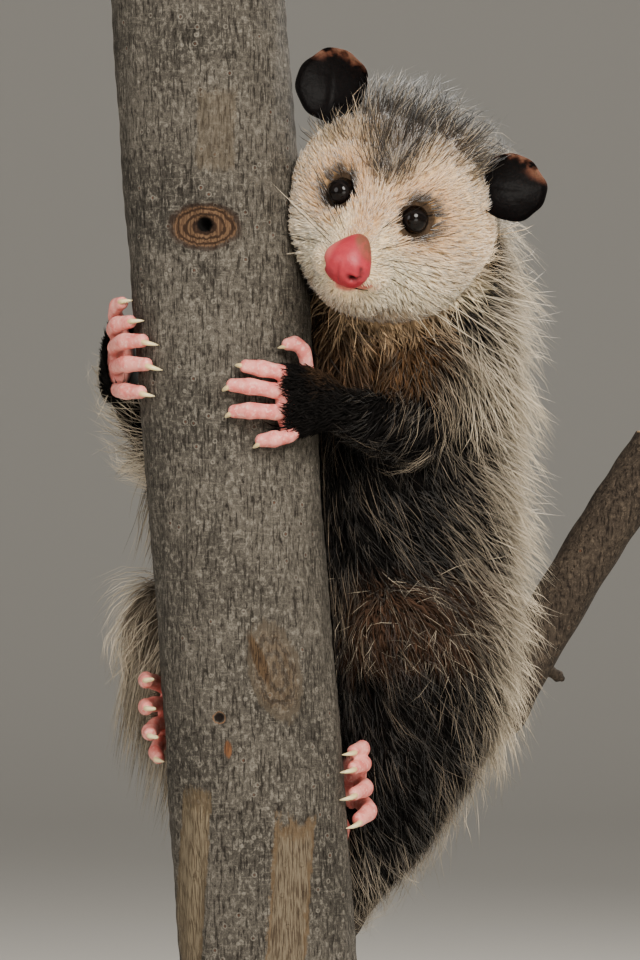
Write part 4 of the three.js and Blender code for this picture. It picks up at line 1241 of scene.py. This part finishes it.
def whiskers():
    lines, facings, places, tints = [], [], [], []
    s = np.linspace(0, 1, whiskerSetup["rings"])[:, None]
    for group in whiskerSets:
        for sign in (1, -1):
            rng = np.random.default_rng(group["seed"] + (0 if sign > 0 else 100))
            for _ in range(group["count"]):
                u = rng.uniform(*group["u"])
                angle = math.radians(rng.uniform(*group["round"]))
                angle = angle if sign > 0 else math.pi - angle
                start, facing = surfaceAt(headForm, np.array([u]), np.array([angle]), headPush - 1.0)
                length = rng.uniform(*group["length"])
                first = unit(facing[0] * group["out"] + headBasis[1] * 0.45 + rng.normal(0, 0.12, 3))
                last = unit(first + headBasis[1] * 0.9 + [0, 0, -0.35] + rng.normal(0, 0.16, 3))
                lines.append(start[0] + length * (first * s * (1 - s / 2) + last * s * s / 2))
                facings.append(np.repeat(unit(np.cross(first, [0.3, 0.2, 1]))[None], len(s), 0))
                places.append((angle, u))
                tints.append(palette["black"] if rng.uniform() < group["dark"] else palette["ivory"])
    strandPieces("whiskers", {
        "points": clearTrunk(np.array(lines), 0.4),
        "facings": np.array(facings),
        "width": np.full(len(lines), whiskerSetup["width"]),
        "spot": spotOn(headForm, *np.array(places).T),
        "random": np.random.default_rng(75).uniform(0.4, 1, len(lines)),
        "root": np.array(tints),
        "tip": np.array(tints),
    }, strandMaterial("whisker", 0.0, 1.0, 0.35), "face_fur")


whiskers()

# Paws: places are an azimuth round the trunk, the height over the bark, and z; a digit is its size,
# four places along it and the point of its claw, which the hind thumbs don't have
paws = {
    "left_hand": {
        "pad": [(57, 11, 347, 7.6, 6.6), (46, 7.5, 348, 10.5, 5.6), (34, 6, 348, 11.5, 4.4)],
        "digits": [
            (2.6, (50, 6.5, 357), (47, 7, 366), (43.5, 5.5, 368.4), (40, 3.8, 368.2), (36.8, 0.6, 367)),
            (2.8, (40, 6, 355.5), (31, 7, 358), (21, 6.4, 359.4), (12.5, 3.6, 360.3), (7, 0.6, 360.7)),
            (2.8, (36, 6, 350), (26, 7.2, 351.6), (14, 6.6, 353), (4, 3.6, 353.6), (-2, 0.6, 351.7)),
            (2.8, (36, 6, 343.5), (26, 7.2, 344), (13, 6.6, 344.5), (4, 3.6, 344.3), (-1.5, 0.6, 342.3)),
            (2.8, (40, 6, 338.5), (33, 7, 336), (25, 6.4, 334.6), (18.5, 3.6, 334), (14.5, 0.6, 331.5)),
        ],
    },
    "right_hand": {
        "pad": [(-121, 12, 355, 7.6, 6.6), (-108, 7.5, 361, 11, 5.6), (-95, 6, 365, 13, 4.4)],
        "digits": [
            (2.7, (-104, 6, 371), (-97, 6.6, 379), (-90, 5.6, 382.4), (-82, 3.6, 383.6), (-75, 0.6, 384.4)),
            (2.8, (-98, 6, 370), (-90, 7, 374), (-78, 6.6, 375.6), (-66, 3.6, 376.6), (-58, 0.6, 376.9)),
            (2.8, (-96, 6, 365), (-84, 7.2, 367.5), (-68, 6.6, 369.4), (-53, 3.6, 369.7), (-45, 0.6, 368.1)),
            (2.8, (-96, 6, 360), (-83, 7.2, 360.5), (-66, 6.6, 361.4), (-51, 3.6, 361.2), (-43, 0.6, 359.2)),
            (2.8, (-98, 6, 355), (-86, 7, 352.6), (-72, 6.4, 351.8), (-59, 3.6, 351.4), (-52, 0.6, 349.9)),
        ],
    },
    "left_foot": {
        "pad": [(146, 10, 222, 7.5, 7), (128, 7.5, 215, 9, 6), (111, 6, 211.5, 11.5, 4.6)],
        "digits": [
            (2.8, (115, 6, 219), (104, 7.6, 222), (94, 7.4, 223.2), (85, 4, 222.4), (77, 0.6, 221.4)),
            (2.8, (113, 6, 214), (102, 7.6, 217), (91, 7.4, 217.8), (80, 4, 216.6), (70, 0.6, 215.2)),
            (2.8, (113, 6, 209), (102, 7.6, 209.6), (90, 7.4, 209), (77, 4, 207.4), (66, 0.6, 205.5)),
            (3.1, (115, 6, 205), (105, 7.8, 202.6), (94, 8, 200.6), (83, 4.4, 198), (74, 0.6, 195.1)),
            (3.4, (134, 7, 210), (133, 8, 201), (131, 7, 194), (129, 4.6, 188)),
        ],
    },
    "right_foot": {
        "pad": [(196, 10, 233, 7.5, 7), (214, 7.5, 235, 9, 6), (231, 6, 237, 11.5, 4.6)],
        "digits": [
            (2.8, (228, 6, 243), (240, 7.6, 246.5), (252, 7, 247.6), (263, 5, 247.4), (272, 3.6, 248.4)),
            (2.8, (230, 6, 238.5), (242, 7.6, 238.6), (254, 7.4, 238), (264, 5.4, 237.8), (274, 4.4, 237.6)),
            (2.8, (230, 6, 233.5), (242, 7.6, 231), (253, 7, 229), (263, 5, 228.3), (272, 3.6, 227.1)),
            (2.8, (228, 6, 229), (238, 7.6, 224.6), (247, 6.6, 221.4), (254, 4, 219.6), (262, 0.8, 218.4)),
            (3.4, (206, 7, 228), (208, 8, 219), (210, 7, 212), (212, 4.6, 206)),
        ],
    },
}
digitSetup = {
    "voxel": 0.62, "knuckle": 0.32, "knuckles": (0.34, 0.7), "crease": 0.08, "creases": 22,
    "sizes": ((1.05, 1), (0.98, 0.98), (1.06, 0.96), (0.92, 0.88)),
}
# how far along from fingertip to point, how much of the tip's height and what more, then the sizes
clawStations = [(-0.15, 1, 1.1, 1.1, 1.15), (0.5, 0.55, 2.0, 0.95, 1.05), (0.85, 0.25, 1.2, 0.6, 0.7)]
pawPlan = {
    "count": 2300, "stretch": (-0.25, 0.93), "round": (-30, 210), "length": 6.5, "vary": 0.35, "width": 0.7,
    "lift": 2.4, "wander": 0.3, "clump": 3, "spread": 0.9, "steps": 2, "skin": -0.5, "curl": 0.4, "sink": 0.6,
    "room": -1, "tint": "dark",
}


def pawMaterial():
    material, tree, shader = newMaterial(
        "paw skin", Roughness=0.5, Subsurface_Weight=0.12, Subsurface_Radius=(0.004, 0.0015, 0.001))
    pink = mixColour(tree, speckle(tree, 260, 0.38, 0.66), tone(232, 150, 138), tone(212, 108, 100))
    skin = mixColour(tree, times(tree, speckle(tree, 800, 0.5, 0.72), 0.6), pink, tone(238, 196, 182))
    folded = bumpFrom(tree, noise(tree, (900, 900, 2400), 3.0), 0.5, 0.2)
    plug(tree, shader, Base_Color=mixColour(tree, meshLayer(tree, "furred"), skin, tone(12, 9, 8)),
         Normal=bumpFrom(tree, cells(tree, 1900.0)[0], 0.35, 0.1, Normal=folded))
    return material


def clawMaterial():
    material, tree, shader = newMaterial("claw", Roughness=0.35, Subsurface_Weight=0.1)
    length = ramp(tree, meshLayer(tree, "along"), 0.1, 0.9)
    grown = mixColour(tree, length, tone(228, 190, 132), tone(240, 222, 168))
    fibres = noise(tree, (3500, 900, 3500), 2.0)
    plug(tree, shader, Base_Color=mixColour(tree, times(tree, fibres, 0.3), grown, tone(196, 160, 104)),
         Normal=bumpFrom(tree, fibres, 0.25, 0.05))
    return material


pawSkin = pawMaterial()
clawHorn = clawMaterial()


def onTrunk(stations):
    rows = []
    for azimuth, over, z, *sizes in stations:
        rows.append([*roundTrunk(azimuth, trunk["radius"] + over, z), *sizes])
    return makeForm(rows, [awayFromTrunk(station[0]) for station in stations])


def shareBetween(points, first, last):
    return (points - first) @ (last - first) / ((last - first) @ (last - first))


def jointed(u, angle):
    # knuckles, and creases across the top of a digit
    bulge = sum(bell(u - spot, 0.09) for spot in digitSetup["knuckles"])
    fold = np.cos(u * 2 * math.pi * digitSetup["creases"]) * smooth(-0.2, 0.6, np.sin(angle))
    return digitSetup["knuckle"] * bulge + digitSetup["crease"] * fold - 0.12


def paw(name, seed):
    palm = onTrunk(paws[name]["pad"])
    shapes = [wrapSphere(palm, 28, 16, 5)]
    claws, shares = [], []
    for size, *path in paws[name]["digits"]:
        rows = [[*place, size * wide, size * deep] for place, (wide, deep) in zip(path, digitSetup["sizes"])]
        shapes.append(wrapSphere(onTrunk(rows), 20, 70, 5, wave=jointed))
        if len(path) < 5:
            continue
        tip, end = np.array(path[3:], float)
        stations = []
        for share, keptOver, more, *sizes in clawStations:
            azimuth, _, z = tip + (end - tip) * share
            stations.append((azimuth, tip[1] * keptOver + more, z, *sizes))
        hook = onTrunk([*stations, (*end, 0.14, 0.18)])
        claws.append(wrapSphere(hook, 16, 20, 3))
        share = shareBetween(vertsOf(claws[-1]) / mm, hook["middle"][0], hook["middle"][-1])
        shares.append(np.clip(share, 0, 1))
    skin = fuse(shapes, name + "_skin", digitSetup["voxel"], 1)
    co = vertexPlaces(skin)
    wrist, _, knuckles = palm["middle"]
    layer(skin, "furred", smooth(0.98, 0.8, shareBetween(co, wrist, knuckles)) * insideForm(palm, co, 2.0))
    finishPiece(skin, "paw_skin", pawSkin, name)
    horn = objectFrom(gather(claws), name + "_claws")
    layer(horn, "along", np.concatenate(shares))
    finishPiece(horn, "claw", clawHorn)
    return growAlong(palm, {**pawPlan, "seed": seed})


pawFurs = [paw(name, 80 + i) for i, name in enumerate(paws)]
strandPieces("coat_paws", together(pawFurs), furUnder, "dark_fur")
print("paws made")

# Tail: furred dark base, then bare scaly skin that pales towards the tip, once round the trunk
tailTurns = [
    (188, 41.4, 154, 8.4), (216, 40, 143, 7.4), (246, 39.2, 133, 6.8), (276, 38.7, 124, 6.3),
    (306, 38.2, 116, 5.8), (336, 37.7, 108, 5.3), (366, 37.2, 100, 4.8), (396, 36.6, 92, 4.2),
    (426, 36, 84, 3.6), (456, 35.4, 76, 3), (484, 34.7, 69, 2.2),
]
tailForm = makeForm(
    [(4, 50, 186, 11.5), (-7, 46.5, 168, 9.6), *([*roundTrunk(*turn[:3]), turn[3]] for turn in tailTurns)],
    (0.02, 0.05, 1),
)
tailSetup = {"darkEnd": 0.3, "paleStart": 0.5, "rings": 150, "ringDepth": 0.09}
tailPlan = {
    "seed": 91, "count": 2600, "stretch": (-0.02, 0.17), "round": (0, 360), "length": 10, "vary": 0.3,
    "width": 0.8, "lift": 2.6, "wander": 0.3, "clump": 3, "spread": 1.2, "steps": 3, "skin": -0.4,
    "curl": 0.6, "sink": 1.0, "room": -2, "tint": "dark",
}


def tailMaterial():
    material, tree, shader = newMaterial("tail skin", Roughness=0.6)
    scales = cells(tree, 720.0)[0]
    dark = times(tree, ramp(tree, scales, 0.35, 0.75), 0.55)
    scaled = mixColour(tree, dark, meshLayer(tree, "tint", "Color"), tone(92, 70, 62), "MULTIPLY")
    raised = calc(tree, "SUBTRACT", 1.0, scales)
    plug(tree, shader, Base_Color=scaled, Normal=bumpFrom(tree, raised, 0.6, 0.35))
    return material


def tail():
    def wave(u, angle):
        return tailSetup["ringDepth"] * np.cos(u * 2 * math.pi * tailSetup["rings"])

    shape = wrapSphere(tailForm, 24, 900, 4, grow=-0.2, wave=wave)
    rows = vertsOf(shape) / mm
    piece = objectFrom(shape, "tail_skin_piece")
    u = np.linspace(0, 1, 400)
    line = throughKeys(tailForm["middle"], u)
    nearest = [((part[:, None] - line[None]) ** 2).sum(-1).argmin(1) for part in np.array_split(rows, 12)]
    pale = smooth(tailSetup["darkEnd"], tailSetup["paleStart"], u[np.concatenate(nearest)])
    paint(piece, "tint", blend(tone(34, 28, 27), tone(206, 172, 158), pale))
    finishPiece(piece, "tail_skin", tailMaterial(), "tail_base", "tail_upper", "tail_middle", "tail_lower",
                "tail_tip")
    strandPieces("coat_tail", growAlong(tailForm, tailPlan), furUnder, "dark_fur")


tail()
print("tail made")

# Trunk: a straight stem that is then leaned, with scars, and holes painted dark inside as shade; places are
# (x, z) as seen from the front
trunkSetup = {"around": 164, "rows": 290, "swell": 0.35, "rough": 0.22}
trunkScarsAndHoleShade = [
    {"at": (-37, 444.5), "size": (7.4, 15.8), "colour": (92, 82, 67), "streak": (68, 58, 45), "depth": -0.25,
     "edge": 0.2, "square": True, "turn": 2, "share": 0.5, "ragged": 1.1},
    {"at": (-41, 410), "size": (12.4, 8.0), "colour": (100, 77, 56), "streak": (66, 48, 35), "depth": -1.0,
     "edge": 0.14, "rings": 26, "rim": (44, 31, 24), "ragged": 0.5},
    {"at": (-41, 410.6), "size": (4.6, 4.0), "colour": (40, 27, 20), "streak": (30, 20, 15), "depth": -0.4,
     "edge": 0.5, "ragged": 0.3},
    # inside the knot hole, near black: painted shade in the hole
    {"at": (-41, 410.8), "size": (3.1, 3.0), "colour": (9, 7, 6), "streak": (7, 5, 4), "depth": 0,
     "edge": 0.3, "ragged": 0.15},
    {"at": (-16, 252), "size": (8.6, 17), "colour": (102, 86, 66), "streak": (76, 60, 44), "depth": -0.2,
     "edge": 0.25, "turn": -14, "share": 0.5, "rings": 20, "rim": (76, 67, 55)},
    {"at": (-21.5, 256), "size": (2.6, 12), "colour": (78, 62, 44), "streak": (44, 33, 24), "depth": -0.9,
     "edge": 0.4, "turn": -22, "ragged": 1.2},
    # a small hole, dark inside as painted shade, with a paler rim
    {"at": (-35.8, 235.5), "size": (2.2, 2.0), "colour": (24, 18, 14), "streak": (30, 22, 17), "depth": -1.2,
     "edge": 0.4, "rim": (120, 84, 54)},
    {"at": (-32.6, 224.5), "size": (1.8, 3.6), "colour": (108, 72, 46), "streak": (76, 52, 36), "depth": 0,
     "edge": 0.4},
    {"at": (-46.5, 166), "size": (4.8, 40), "colour": (118, 106, 86), "streak": (74, 63, 49), "depth": -0.5,
     "edge": 0.12, "square": True, "turn": 4, "rim": (92, 78, 58), "ragged": 1.1},
    {"at": (-11.5, 160), "size": (6.6, 36), "colour": (106, 95, 78), "streak": (66, 55, 43), "depth": -0.5,
     "edge": 0.12, "square": True, "turn": 4, "rim": (94, 76, 54), "ragged": 1.1},
]
scarDefaults = {"turn": 0, "square": False, "ragged": 1.0, "rings": 0, "share": 1.0, "rim": None}
knotSetup = {"at": (-41, 410.6), "hole": 2.9, "deep": 6.0, "size": (12.4, 8.0), "rim": 1.0, "lip": 0.8}


def scarMask(x, z, front, scar):
    dx, dz = x - scar["at"][0], z - scar["at"][1]
    turn = math.radians(scar["turn"])
    a = (dx * math.cos(turn) + dz * math.sin(turn)) / scar["size"][0]
    b = (-dx * math.sin(turn) + dz * math.cos(turn)) / scar["size"][1]
    wobble = 0.12 * np.sin(0.9 * z + 0.5 * x) + 0.08 * np.sin(2.3 * x - 0.7 * z)
    return smooth(1.05, 1.05 - scar["edge"], np.sqrt(a * a + b * b) + wobble * scar["edge"]) * front


def nearScar(tree, scar):
    # 0 in the middle of the scar on the front of the bark, 1 at its edge
    (x, z), (wide, tall) = scar["at"], scar["size"]
    patch = addNode(tree, "Mapping", {"vector_type": "TEXTURE"}, Vector=objectPlace(tree),
                    Location=(x * mm, 0, z * mm), Rotation=(0, math.radians(scar["turn"]), 0),
                    Scale=(wide * mm, 1, tall * mm))
    parts = addNode(tree, "SeparateXYZ", Vector=patch.outputs[0]).outputs
    a, b = (calc(tree, "ABSOLUTE", parts[i]) for i in (0, 2))
    if scar["square"]:
        return calc(tree, "MAXIMUM", a, b)
    return calc(tree, "SQRT", calc(tree, "ADD", calc(tree, "POWER", a, 2.0), calc(tree, "POWER", b, 2.0)))


def barkGroup():
    # mottled bark with cracks and lenticels; Height is for its bump
    sockets = {"Base": "Color", "Pale": "Color", "Dark": "Color"}
    group, given, result = newGroup("bark", sockets, {"Colour": "Color", "Height": "Float"})
    mottle = noise(group, (620, 620, 420), 7.0, 0.72)
    grain = noise(group, (2300, 2300, 2300), 4.0)
    paleRings = ramp(group, noise(group, (190, 190, 1300), 5.0), 0.56, 0.68)
    darkCracks = ramp(group, noise(group, (1300, 1300, 150), 5.0), 0.54, 0.66)
    # lenticels: pale rings round a rusty dot, in some cells only
    cell = cells(group, 190.0)
    chance = addNode(group, "SeparateColor", Color=cell["Color"])
    rare = calc(group, "GREATER_THAN", chance.outputs[0], 0.4)
    far = calc(group, "ADD", cell["Distance"], times(group, grain, 0.05))
    ring = times(group, times(group, ramp(group, far, 0.12, 0.17), ramp(group, far, 0.25, 0.2)), rare)
    dot = times(group, ramp(group, far, 0.13, 0.08), rare)
    half = mixColour(group, 1.0, given["Base"], (0.5, 0.5, 0.5), "MULTIPLY")
    colour = mixColour(group, speckle(group, 28, 0.35, 0.7), given["Base"], half)
    for mask, strength, tint in (
        (ramp(group, mottle, 0.5, 0.62), 0.6, given["Pale"]),
        (ramp(group, mottle, 0.46, 0.36), 0.8, given["Dark"]),
        (paleRings, 0.3, given["Pale"]), (darkCracks, 0.75, given["Dark"]),
        (ring, 0.65, given["Pale"]), (dot, 0.7, tone(84, 52, 36)),
    ):
        colour = mixColour(group, times(group, mask, strength), colour, tint)
    level = addNode(group, "MapRange", Value=grain, From_Min=0.3, From_Max=0.7, To_Min=0.7, To_Max=1.26)
    height = calc(group, "ADD", times(group, mottle, 0.8), times(group, grain, 0.3))
    height = calc(group, "ADD", height, times(group, ring, 0.35))
    height = calc(group, "SUBTRACT", height, times(group, darkCracks, 0.4))
    plug(group, result, Colour=brightened(group, colour, level.outputs[0]), Height=height)
    return group


def cutEndGroup():
    # year rings where the wood is cut; the mesh says where, and how far from the middle
    group, given, result = newGroup("cut end", {"Bark": "Color", "Wood": "Color"}, {"Colour": "Color"})
    wobble = calc(group, "ADD", meshLayer(group, "radial"), times(group, speckle(group, 60, 0.2, 0.8), 0.06))
    years = calc(group, "SINE", times(group, wobble, 85.0))
    late = mixColour(group, 1.0, given["Wood"], (0.62, 0.62, 0.62), "MULTIPLY")
    wood = mixColour(group, ramp(group, years, 0.2, 1.0), given["Wood"], late)
    plug(group, result, Colour=mixColour(group, meshLayer(group, "cut"), given["Bark"], wood))
    return group


barkShade = barkGroup()
cutEnd = cutEndGroup()


def scarredWithHoleShade(tree, colour):
    parts = addNode(tree, "SeparateXYZ", Vector=objectPlace(tree))
    front = ramp(tree, parts.outputs[1], -0.002, -0.009)
    warp = times(tree, calc(tree, "SUBTRACT", noise(tree, (420, 420, 200), 6.0, 0.65), 0.5), 0.7)
    fibres = ramp(tree, noise(tree, (2100, 2100, 130), 5.0), 0.42, 0.62)
    for scar in trunkScarsAndHoleShade:
        scar = {**scarDefaults, **scar}
        streak = tone(*scar["streak"])
        away = calc(tree, "ADD", nearScar(tree, scar), times(tree, warp, scar["ragged"]))
        mask = times(tree, ramp(tree, away, 1.0, 1.0 - scar["edge"]), front)
        inner = mixColour(tree, fibres, tone(*scar["colour"]), streak)
        if scar["rings"]:
            waves = calc(tree, "SINE", times(tree, away, scar["rings"]))
            inner = mixColour(tree, ramp(tree, waves, -0.2, 0.8), inner, streak * 0.55)
        colour = mixColour(tree, times(tree, mask, scar["share"]), colour, inner)
        if scar["rim"]:
            line = times(tree, ramp(tree, away, 0.84, 0.98), ramp(tree, away, 1.14, 1.0))
            colour = mixColour(tree, times(tree, times(tree, line, front), 0.75), colour, tone(*scar["rim"]))
    return colour


def barkMaterial(name, base, pale, dark, cutWood, scarsAndHoleShade=False):
    material, tree, shader = newMaterial(name, Roughness=0.88, Specular_IOR_Level=0.15)
    base, pale, dark, cutWood = (rgba(tone(*colour)) for colour in (base, pale, dark, cutWood))
    shade = useGroup(tree, barkShade, Base=base, Pale=pale, Dark=dark)
    colour = scarredWithHoleShade(tree, shade["Colour"]) if scarsAndHoleShade else shade["Colour"]
    plug(tree, shader, Base_Color=useGroup(tree, cutEnd, Bark=colour, Wood=cutWood)["Colour"],
         Normal=bumpFrom(tree, shade["Height"], 0.9, 0.8))
    return material


def makeTrunk():
    radius = trunk["radius"]
    stem = makeForm([(0, 0, z, radius) for z in (trunk["bottom"], trunk["top"])], (0, -1, 0))
    shape = wrapSphere(stem, trunkSetup["around"], trunkSetup["rows"], 8, flat=True)
    co = vertsOf(shape) / mm
    x, y, z = co.T
    far = np.hypot(x, y)
    cut = (far < radius - 0.01).astype(float)
    turn = np.arctan2(x, -y)
    wave = trunkSetup["swell"] * (np.sin(2 * turn + z / 37) + 0.6 * np.sin(3 * turn - z / 23 + 1))
    rough = np.sin(9 * turn + z / 4.1) * np.sin(z / 2.6 + 3 * turn) + np.sin(17 * turn - z / 9)
    push = (wave + trunkSetup["rough"] * rough - 0.5) * (1 - cut)
    front = smooth(0, -8, y)
    seen = x + trunkMiddle(z)
    for scar in trunkScarsAndHoleShade:
        push += scar["depth"] * scarMask(seen, z, front, {**scarDefaults, **scar})
    # the knot: a deep hole with a raised lip and rim, and a crescent below it on the right
    dx, dz = seen - knotSetup["at"][0], z - knotSetup["at"][1]
    hole = np.hypot(dx, dz)
    lens = np.hypot(dx / knotSetup["size"][0], dz / knotSetup["size"][1])
    push -= knotSetup["deep"] * smooth(knotSetup["hole"], knotSetup["hole"] - 1.5, hole) * front
    push += (knotSetup["rim"] * bell(lens - 1.05, 0.16) + knotSetup["lip"] * bell(hole - 4.0, 0.9)) * front
    crescent = bell(np.hypot(seen + 14.5, (z - 252) / 1.35) - 9.5, 0.9)
    push += 0.7 * crescent * smooth(-30, -18, seen) * front
    outwards = np.stack([x, y, np.zeros_like(x)], 1) / np.maximum(far, 1e-6)[:, None]
    leaned = co + outwards * push[:, None] + np.outer(trunkMiddle(z), [1, 0, 0])
    piece = objectFrom(moveVerts(shape, leaned), "trunk_bark")
    layer(piece, "cut", cut)
    layer(piece, "radial", far / radius)
    bark = barkMaterial("trunk bark", (82, 77, 69), (124, 118, 107), (28, 24, 20), (186, 158, 118), True)
    finishPiece(piece, "bark", bark, "perch_trunk")


limbStations = [
    (-14, 4, 124, 13), (-4, 33, 147, 12.5), (12, 62, 171, 12), (36, 82, 203, 11.4), (67, 90, 238, 11),
    (103, 101, 295, 10.8), (128, 109, 333, 10.6),
]
limbSetup = {
    "knob": (0.66, -150, 3.0, 7.0), "swell": 0.4, "stubAt": (0.715, -168),
    "stub": ((0, 2.6), (2.5, 2.0), (4.5, 2.3), (6, 1.2)),
}


def makeLimb():
    form = makeForm(limbStations, (0, 1, 0.3))

    def wave(u, angle):
        knobU, knobAngle, rise, reach = limbSetup["knob"]
        gap = np.angle(np.exp(1j * (angle - math.radians(knobAngle))))
        knob = rise * np.exp(-((u - knobU) * form["length"] / reach) ** 2 - (gap / 0.6) ** 2)
        return knob + limbSetup["swell"] * np.sin(3 * angle + u * 40) * np.sin(u * 61 + angle) - 0.4

    shape = wrapSphere(form, 72, 270, 6, wave=wave, flat=True)
    stubU, stubAngle = limbSetup["stubAt"]
    place, facing = surfaceAt(form, np.array([stubU]), np.radians([stubAngle]), -1.5)
    stub = wrapSphere(makeForm([[*(place[0] + facing[0] * d), w] for d, w in limbSetup["stub"]]), 16, 10, 3)
    co = vertsOf(shape) / mm
    before, end = form["middle"][-2:]
    wide = limbStations[-1][3]
    far = farFrom(co, end)
    atEnd = ((co - end) @ unit(end - before) > -0.3) & (far < wide + 1) & (far / wide < 0.94)
    pad = np.zeros(len(stub.verts))
    piece = objectFrom(gather([shape, stub]), "limb_bark")
    layer(piece, "cut", np.append(atEnd.astype(float), pad))
    layer(piece, "radial", np.append(far / wide, pad))
    bark = barkMaterial("limb bark", (58, 50, 42), (88, 77, 65), (24, 19, 16), (190, 160, 120))
    finishPiece(piece, "bark", bark, "perch_limb")


makeTrunk()
makeLimb()
print("perch made")


# Display stand: a round satin base with a bevelled edge, and two brushed rods
def wearGroup():
    # a fine grain that roughens the finish here and there
    sockets = {"Tone": "Color", "Rough": "Float", "Stretch": "Vector", "Depth": "Float"}
    results = {"Colour": "Color", "Roughness": "Float", "Normal": "Vector"}
    group, given, result = newGroup("wear", sockets, results)
    grain = noise(group, given["Stretch"], 4.0)
    worn = mixColour(group, 1.0, given["Tone"], (1.25, 1.25, 1.25), "MULTIPLY")
    rough = calc(group, "ADD", given["Rough"], times(group, calc(group, "SUBTRACT", grain, 0.45), 0.18))
    bump = addNode(group, "Bump", Height=grain, Strength=0.3, Distance=given["Depth"])
    plug(group, result, Colour=mixColour(group, speckle(group, 30, 0.4, 0.7), given["Tone"], worn),
         Roughness=rough, Normal=bump.outputs[0])
    return group


wear = wearGroup()


def standMaterial(name, colour, roughness, metallic, scale, depth):
    material, tree, shader = newMaterial(name, Metallic=metallic)
    shade = useGroup(tree, wear, Tone=rgba(colour), Rough=roughness, Stretch=scale, Depth=depth * mm)
    plug(tree, shader, Base_Color=shade["Colour"], Roughness=shade["Roughness"], Normal=shade["Normal"])
    return material


def turned(name, node, bevel, material, slot, segments):
    low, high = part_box(node)
    shape = bmesh.new()
    radius = (high.y - low.y) / 2
    bmesh.ops.create_cone(shape, cap_ends=True, segments=segments, radius1=radius, radius2=radius,
                          depth=high.z - low.z)
    rim = [e for e in shape.edges if len(e.link_faces) == 2 and e.calc_face_angle() > 1]
    bmesh.ops.bevel(shape, geom=rim, offset=bevel * mm, segments=4, profile=0.5, affect="EDGES", material=-1)
    bmesh.ops.translate(shape, verts=shape.verts, vec=(low + high) / 2)
    piece = objectFrom(shape, name, shade=False)
    for face in piece.data.polygons:
        face.use_smooth = len(face.vertices) == 4
    finishPiece(piece, slot, material, node)


satin = standMaterial("satin black", tone(38, 38, 40), 0.42, 0.0, (700, 700, 700), 0.05)
steel = standMaterial("brushed steel", tone(188, 188, 190), 0.3, 1.0, (3000, 3000, 90), 0.04)
turned("stand_disc", "stand_base", 1.6, satin, "stand_base", 192)
for i in (1, 2):
    turned(f"stand_post_{i}", f"stand_rod_{i}", 0.4, steel, "stand_rod", 64)
print("stand made")

# Studio, in metres: a pale floor that sweeps up behind, a broad key light, two fills and a rim light
studio = {"front": -5.0, "back": 5.5, "half": 6.0, "sweep": 2.0, "tall": 5.0, "tone": tone(190, 186, 178)}
lamps = {
    "key": {"place": (0.55, -1.75, 1.4), "aim": (0, 0, 0.33),
            "size": 1.0, "power": 74, "colour": (1.0, 0.95, 0.88)},
    "fill": {"place": (-1.5, -1.3, 0.9), "aim": (0, 0, 0.3),
            "size": 1.2, "power": 15, "colour": (1.0, 0.97, 0.94)},
    "low": {"place": (0.5, -1.7, 0.12), "aim": (0.02, 0, 0.36),
            "size": 0.9, "power": 9, "colour": (1.0, 0.96, 0.9)},
    "rim": {"place": (0.9, 1.1, 1.2), "aim": (0, 0.05, 0.33),
            "size": 0.6, "power": 36, "colour": (1.0, 0.97, 0.92)},
}


def makeFloor():
    start, sweep = studio["back"] - studio["sweep"], studio["sweep"]
    profile = [(studio["front"], 0.0), (start, 0.0)]
    for turn in np.linspace(0, math.pi / 2, 13)[1:]:
        profile.append((start + sweep * math.sin(turn), sweep * (1 - math.cos(turn))))
    profile.append((studio["back"], studio["tall"]))
    shape = bmesh.new()
    verts = [shape.verts.new((-studio["half"], y, z)) for y, z in profile]
    edges = [shape.edges.new(pair) for pair in zip(verts, verts[1:])]
    swept = bmesh.ops.extrude_edge_only(shape, edges=edges)
    moved = [v for v in swept["geom"] if isinstance(v, bmesh.types.BMVert)]
    bmesh.ops.translate(shape, verts=moved, vec=(2 * studio["half"], 0, 0))
    bmesh.ops.recalc_face_normals(shape, faces=shape.faces)
    floor = objectFrom(shape, "floor")
    floor.data.materials.append(newMaterial("floor", Roughness=0.9, Base_Color=rgba(studio["tone"]))[0])
    floor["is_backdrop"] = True


makeFloor()
for name, setup in lamps.items():
    light = bpy.data.lights.new(name, "AREA")
    light.shape = "DISK"
    light.size = setup["size"]
    light.energy = setup["power"]
    light.color = setup["colour"]
    lamp = linked(name, light)
    lamp.location = setup["place"]
    lamp.rotation_euler = (Vector(setup["aim"]) - Vector(setup["place"])).to_track_quat("-Z", "Y").to_euler()
world = bpy.data.worlds.new("studio")
world.use_nodes = True
plug(world.node_tree, world.node_tree.nodes["Background"], Color=(0.93, 0.92, 0.9, 1), Strength=0.36)
bpy.context.scene.world = world
print("studio lit")

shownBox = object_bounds()
sizes = {
    "cad": [list(corner) for corner in cadBox],
    "visual": [list(corner) for corner in shownBox],
}
